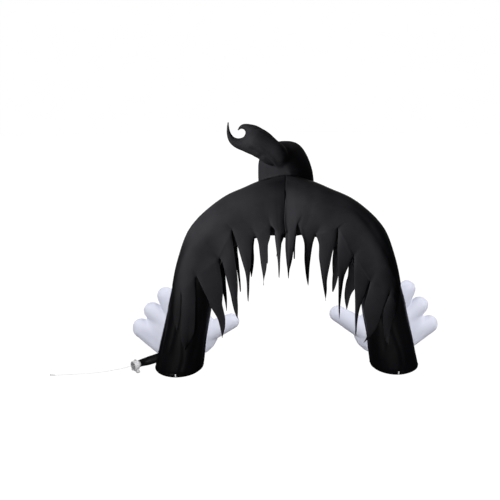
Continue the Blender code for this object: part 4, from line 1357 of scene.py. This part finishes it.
grilleShape = {
    "frame": (
        (0.0462, 0.0006), (0.0466, 0.0032), (0.0475, 0.0044),
        (0.0500, 0.0044), (0.0511, 0.0034), (0.0515, 0.0006),
    ),
    "bars": (0.0165, 0.0222, 0.0279, 0.0336, 0.0393, 0.0450),
    "barThick": 0.0008,
    "domed": (0.0046, 0.9),  # the bars' height in the middle, and how it falls with the radius squared
    "spokes": 8,
    "spokeSize": (0.0376, 0.0018, 0.0016),
    "spokeAt": (0.0288, 0.0, 0.0030),
    "hub": (
        (0.0, 0.0068), (0.0060, 0.0066), (0.0095, 0.0058), (0.0114, 0.0044), (0.0118, 0.0026), (0.0, 0.0026),
    ),
    "screw": ((0.0, 0.0012), (0.0012, 0.0010), (0.0021, 0.0003), (0.0022, -0.0006), (0.0, -0.0006)),
    "screwAt": (0.0489, 0.0, 0.0046),
    # the blower's wheel in the throat
    "wheelHub": ((0.0, -0.0030), (0.0080, -0.0036), (0.0100, -0.0060), (0.0100, -0.0120), (0.0, -0.0120)),
    "backPlate": ((0.0, -0.0108), (0.0420, -0.0108), (0.0425, -0.0114), (0.0420, -0.0120), (0.0, -0.0120)),
    "blades": 11,
    "bladeSize": (0.0290, 0.0012, 0.0064),
    "bladeAt": (0.0255, 0.0, -0.0078),
    "bladeLean": (0.45, 0.35),
}


def spokeTurns(count, start=0.0):
    return [intakePlace @ Matrix.Rotation(2 * math.pi * (k + start) / count, 4, "Z") for k in range(count)]


def addGrille(shape):
    bm = bmesh.new()
    turned(bm, shape["frame"], 72, intakePlace, closed=True)
    middle, fall = shape["domed"]
    for radius in shape["bars"]:
        hoop(bm, radius, shape["barThick"], middle - fall * radius * radius, 72, intakePlace)
    for turn in spokeTurns(shape["spokes"]):
        block(bm, shape["spokeSize"], 0.0004, turn @ Matrix.Translation(shape["spokeAt"]))
    turned(bm, shape["hub"], 40, intakePlace)
    for turn in spokeTurns(4, 0.5):
        turned(bm, shape["screw"], 20, turn @ Matrix.Translation(shape["screwAt"]))
    turned(bm, shape["wheelHub"], 32, intakePlace)
    turned(bm, shape["backPlate"], 48, intakePlace)
    aside, back = shape["bladeLean"]
    lean = Matrix.Translation(shape["bladeAt"])
    lean = lean @ Matrix.Rotation(aside, 4, "Z") @ Matrix.Rotation(back, 4, "X")
    for turn in spokeTurns(shape["blades"]):
        block(bm, shape["bladeSize"], 0.0003, turn @ lean)
    addPiece("intakeGrille", bm, darkPlastic, "intake_grille", sharpAngle=35)


collarProfile = (
    (0.0, 0.0250), (0.0380, 0.0250), (0.0396, 0.0240), (0.0400, 0.0225), (0.0400, 0.0168), (0.0410, 0.0162),
    (0.0410, 0.0138), (0.0400, 0.0132), (0.0400, 0.0048), (0.0408, 0.0034), (0.0440, 0.0030),
    (0.0450, 0.0022), (0.0450, 0.0006), (0.0444, 0.0), (0.0, 0.0),
)


def addCollar(profile):
    bm = bmesh.new()
    at = Matrix.Translation((fanShape["half"] + fanShape["gap"], 0, 0))
    turned(bm, profile, 72, fanMatrix @ at @ Matrix.Rotation(math.pi / 2, 4, "Y"))
    addPiece("outletCollar", bm, darkPlastic, "outlet_collar", sharpAngle=35)


standShape = {
    "halfDeep": 0.018,
    "saddle": (0.0624, -140.0, 100.0, 24),  # radius, first angle, sweep, steps
    "right": ((0.060, -0.052), (0.070, -0.072), (0.070, -0.082), (0.040, -0.082), (0.030, -0.074)),
    "bevel": 0.0018,
    "sharp": 0.5,
    "screw": (
        (0.0, 0.0016), (0.0022, 0.0013), (0.0032, 0.0), (0.0050, -0.0002), (0.0050, -0.0012), (0.0, -0.0012),
    ),
    "screwAt": (0.055, -0.0665),
    "screwLean": 0.35,
}


def addStand(shape):
    radius, first, sweep, steps = shape["saddle"]
    turns = [math.radians(first + sweep * k / steps) for k in range(steps + 1)]
    outline = [(radius * math.cos(turn), radius * math.sin(turn)) for turn in turns]
    outline += [*shape["right"], *((-y, z) for y, z in shape["right"][::-1])]
    bm = bmesh.new()
    face = bm.faces.new([bm.verts.new((-shape["halfDeep"], y, z)) for y, z in outline])
    made = bmesh.ops.extrude_face_region(bm, geom=[face])
    moved = [item for item in made["geom"] if isinstance(item, bmesh.types.BMVert)]
    bmesh.ops.translate(bm, vec=(2 * shape["halfDeep"], 0.0, 0.0), verts=moved)
    bmesh.ops.recalc_face_normals(bm, faces=bm.faces)
    rims = [edge for edge in bm.edges if abs(edge.verts[0].co.x - edge.verts[1].co.x) < 1e-6]
    corners = [edge for edge in bm.edges if edge not in rims and edge.calc_face_angle(0.0) > shape["sharp"]]
    bmesh.ops.bevel(
        bm, geom=rims + corners, offset=shape["bevel"], affect="EDGES", segments=3, profile=0.5, material=-1,
    )
    bm.transform(fanMatrix)
    # a screw head in a washer on each foot
    across, height = shape["screwAt"]
    for side in (-1, 1):
        at = Matrix.Translation((0.0, side * across, height))
        at = at @ Matrix.Rotation(-side * shape["screwLean"], 4, "X")
        turned(bm, shape["screw"], 24, fanMatrix @ at)
    addPiece("fanStand", bm, standPlastic, "fan_stand", sharpAngle=35)


knobShape = {
    "profile": (
        (0.0, 0.0150), (0.0050, 0.0149), (0.0066, 0.0146), (0.0078, 0.0136), (0.0080, 0.0125),
        (0.0080, 0.0048), (0.0074, 0.0038), (0.0056, 0.0034), (0.0056, 0.0), (0.0, 0.0),
    ),
    "flutes": 12,
    "fluteDeep": 0.045,
    "fluted": (0.004, 0.0135, 0.0075),  # lowest, highest and least radius
}


def addKnob(shape):
    bm = bmesh.new()
    turned(bm, shape["profile"], 72, Matrix.Identity(4))
    # grip flutes round the rim
    low, high, inner = shape["fluted"]
    for vert in bm.verts:
        if low < vert.co.z < high and vert.co.xy.length > inner:
            turn = shape["flutes"] * math.atan2(vert.co.y, vert.co.x)
            vert.co.xy *= 1 - shape["fluteDeep"] * (0.5 + 0.5 * math.cos(turn))
    bm.transform(fanMatrix @ Matrix.Translation((0.0, 0.0, fanShape["radius"] + fanShape["gap"])))
    addPiece("topKnob", bm, darkPlastic, "top_knob", sharpAngle=50)


reliefShape = {
    "tip": ((0.0, 0.0300), (0.0042, 0.0300), (0.0046, 0.0294)),
    "ribs": (7, 0.0270, 0.0030, 0.0049, 0.0004),  # count, first height, step down, first radius, step out
    # each rib's own steps out and up
    "rib": ((0.0, 0.0010), (0.0, -0.0006), (-0.0008, -0.0010), (-0.0008, -0.0016)),
    "foot": ((0.0085, 0.0054), (0.0088, 0.0040), (0.0085, 0.0004), (0.0080, 0.0), (0.0, 0.0)),
}


def addRelief(shape):
    # a tapered, ribbed strain relief
    count, height, down, wide, out = shape["ribs"]
    profile = list(shape["tip"])
    for k in range(count):
        profile += [(wide + out * k + across, height - down * k + up) for across, up in shape["rib"]]
    profile += shape["foot"]
    at = Matrix.Translation(cordWay * (fanShape["radius"] + fanShape["gap"]))
    bm = bmesh.new()
    turned(bm, profile, 40, fanMatrix @ at @ Matrix.Rotation(-math.pi / 2 - fanShape["cordDrop"], 4, "X"))
    addPiece("cordRelief", bm, palePlastic, "cord_relief", sharpAngle=35)


addHousing(housingShape)
addGrille(grilleShape)
addCollar(collarProfile)
addStand(standShape)
addKnob(knobShape)
addRelief(reliefShape)
print("fan and sleeve made")


# The plug and the foot tabs.

plugShape = {
    "sections": (
        # along, half width, lowest, highest
        (0.0000, 0.0046, 0.0004, 0.0082), (0.0030, 0.0050, 0.0003, 0.0088), (0.0036, 0.0044, 0.0006, 0.0082),
        (0.0050, 0.0044, 0.0006, 0.0084), (0.0056, 0.0054, 0.0003, 0.0096), (0.0080, 0.0060, 0.0003, 0.0104),
        (0.0086, 0.0054, 0.0006, 0.0100), (0.0100, 0.0056, 0.0006, 0.0104), (0.0106, 0.0070, 0.0003, 0.0122),
        (0.0150, 0.0096, 0.0003, 0.0156), (0.0190, 0.0116, 0.0003, 0.0184), (0.0215, 0.0126, 0.0003, 0.0197),
        (0.0222, 0.0118, 0.0008, 0.0190), (0.0236, 0.0118, 0.0008, 0.0190), (0.0243, 0.0129, 0.0003, 0.0201),
        (0.0262, 0.0130, 0.0003, 0.0202), (0.0269, 0.0120, 0.0008, 0.0193), (0.0283, 0.0120, 0.0008, 0.0193),
        (0.0290, 0.0130, 0.0003, 0.0203), (0.0375, 0.0130, 0.0003, 0.0203), (0.0392, 0.0125, 0.0008, 0.0198),
        (0.0400, 0.0114, 0.0018, 0.0188),
    ),
    "around": 40,
    "square": 4.5,
    "mapSize": (0.08, 0.04),
    "blade": (0.0200, 0.0016, 0.0065),
    "bladeAt": (0.0480, 0.0127 / 2, 0.0103),
}


def addPlug(shape, line):
    end, before = Vector(line[-1]), Vector(line[-2])
    along = (end - before).normalized()
    gap = fanShape["gap"]
    place = Matrix.Translation((end.x + along.x * gap, end.y + along.y * gap, 0.0))
    place = place @ Matrix.Rotation(math.atan2(along.y, along.x), 4, "Z")
    sections = shape["sections"]
    last = len(sections) - 1
    power = 2 / shape["square"]

    def spot(u, v):
        step = v * (last + 2) - 1
        x, wide, low, high = sections[min(max(round(step), 0), last)]
        middle = (low + high) / 2
        if step < -0.5 or step > last + 0.5:
            return Vector((x, 0.0, middle))
        across, up = math.cos(2 * math.pi * u), math.sin(2 * math.pi * u)
        across = math.copysign(abs(across) ** power, across)
        up = math.copysign(abs(up) ** power, up)
        return Vector((x, wide * across, middle + (high - low) / 2 * up))

    bm = rolledGrid(shape["around"], last + 2, spot, shape["mapSize"])
    bm.transform(place)
    body = addPiece("plugBody", bm, cordPlastic, "plug")
    bm = bmesh.new()
    x, y, z = shape["bladeAt"]
    for side in (-1, 1):
        block(bm, shape["blade"], 0.0005, place @ Matrix.Translation((x, side * y, z)))
    blades = addPiece("plugBlades", bm, brass, "plug")
    return [body, blades]


tabShape = {
    "size": (0.014, 0.0030, 0.036),
    "low": 0.018,
    "off": 0.0018,
    "bulge": 0.0016,
    "wave": 0.0006,
    "tucked": (0.09, 0.034),  # how fast its foot leans in, below this height
}


def addTab(name, node, shape):
    # a loop of webbing pressed flat against the foot
    radius = tubeRings[-1][2]
    low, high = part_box(node)
    middle = (low[0] + high[0]) / 2
    tall = shape["size"][2]
    lean, below = shape["tucked"]
    bm = bmesh.new()
    block(bm, shape["size"], 0.0012, Matrix.Identity(4))
    bmesh.ops.subdivide_edges(bm, edges=bm.edges[:], cuts=3, use_grid_fill=True)
    for vert in bm.verts:
        across, up = vert.co.x, vert.co.z + tall / 2
        bulge = shape["bulge"] * math.sin(math.pi * min(up / tall, 1.0))
        wave = shape["wave"] * math.sin(across * 190.0 + up * 60.0)
        height = shape["low"] + up
        reach = radius + shape["off"] + bulge + wave - lean * max(below - height, 0.0)
        curved = across * across / (2 * radius)
        vert.co = Vector((middle + across, planeY - reach + curved + vert.co.y, height))
    bmesh.ops.recalc_face_normals(bm, faces=bm.faces)
    addPiece(name, bm, webbingCloth, node, sharpAngle=60)


plugPieces = addPlug(plugShape, cordLine)
addTab("leftFootTab", "left_foot_tab", tabShape)
addTab("rightFootTab", "right_foot_tab", tabShape)
print("plug and tabs made")

for group in ("pale", "tube", "cape"):
    for name in studio[group]:
        lightGroups[group].objects.link(bpy.data.objects[name])
        if group != "pale":
            lightGroups["dark"].objects.link(bpy.data.objects[name])
print("cord's middle line", round(sum(math.dist(a, b) for a, b in zip(cordLine, cordLine[1:])), 3), "m")
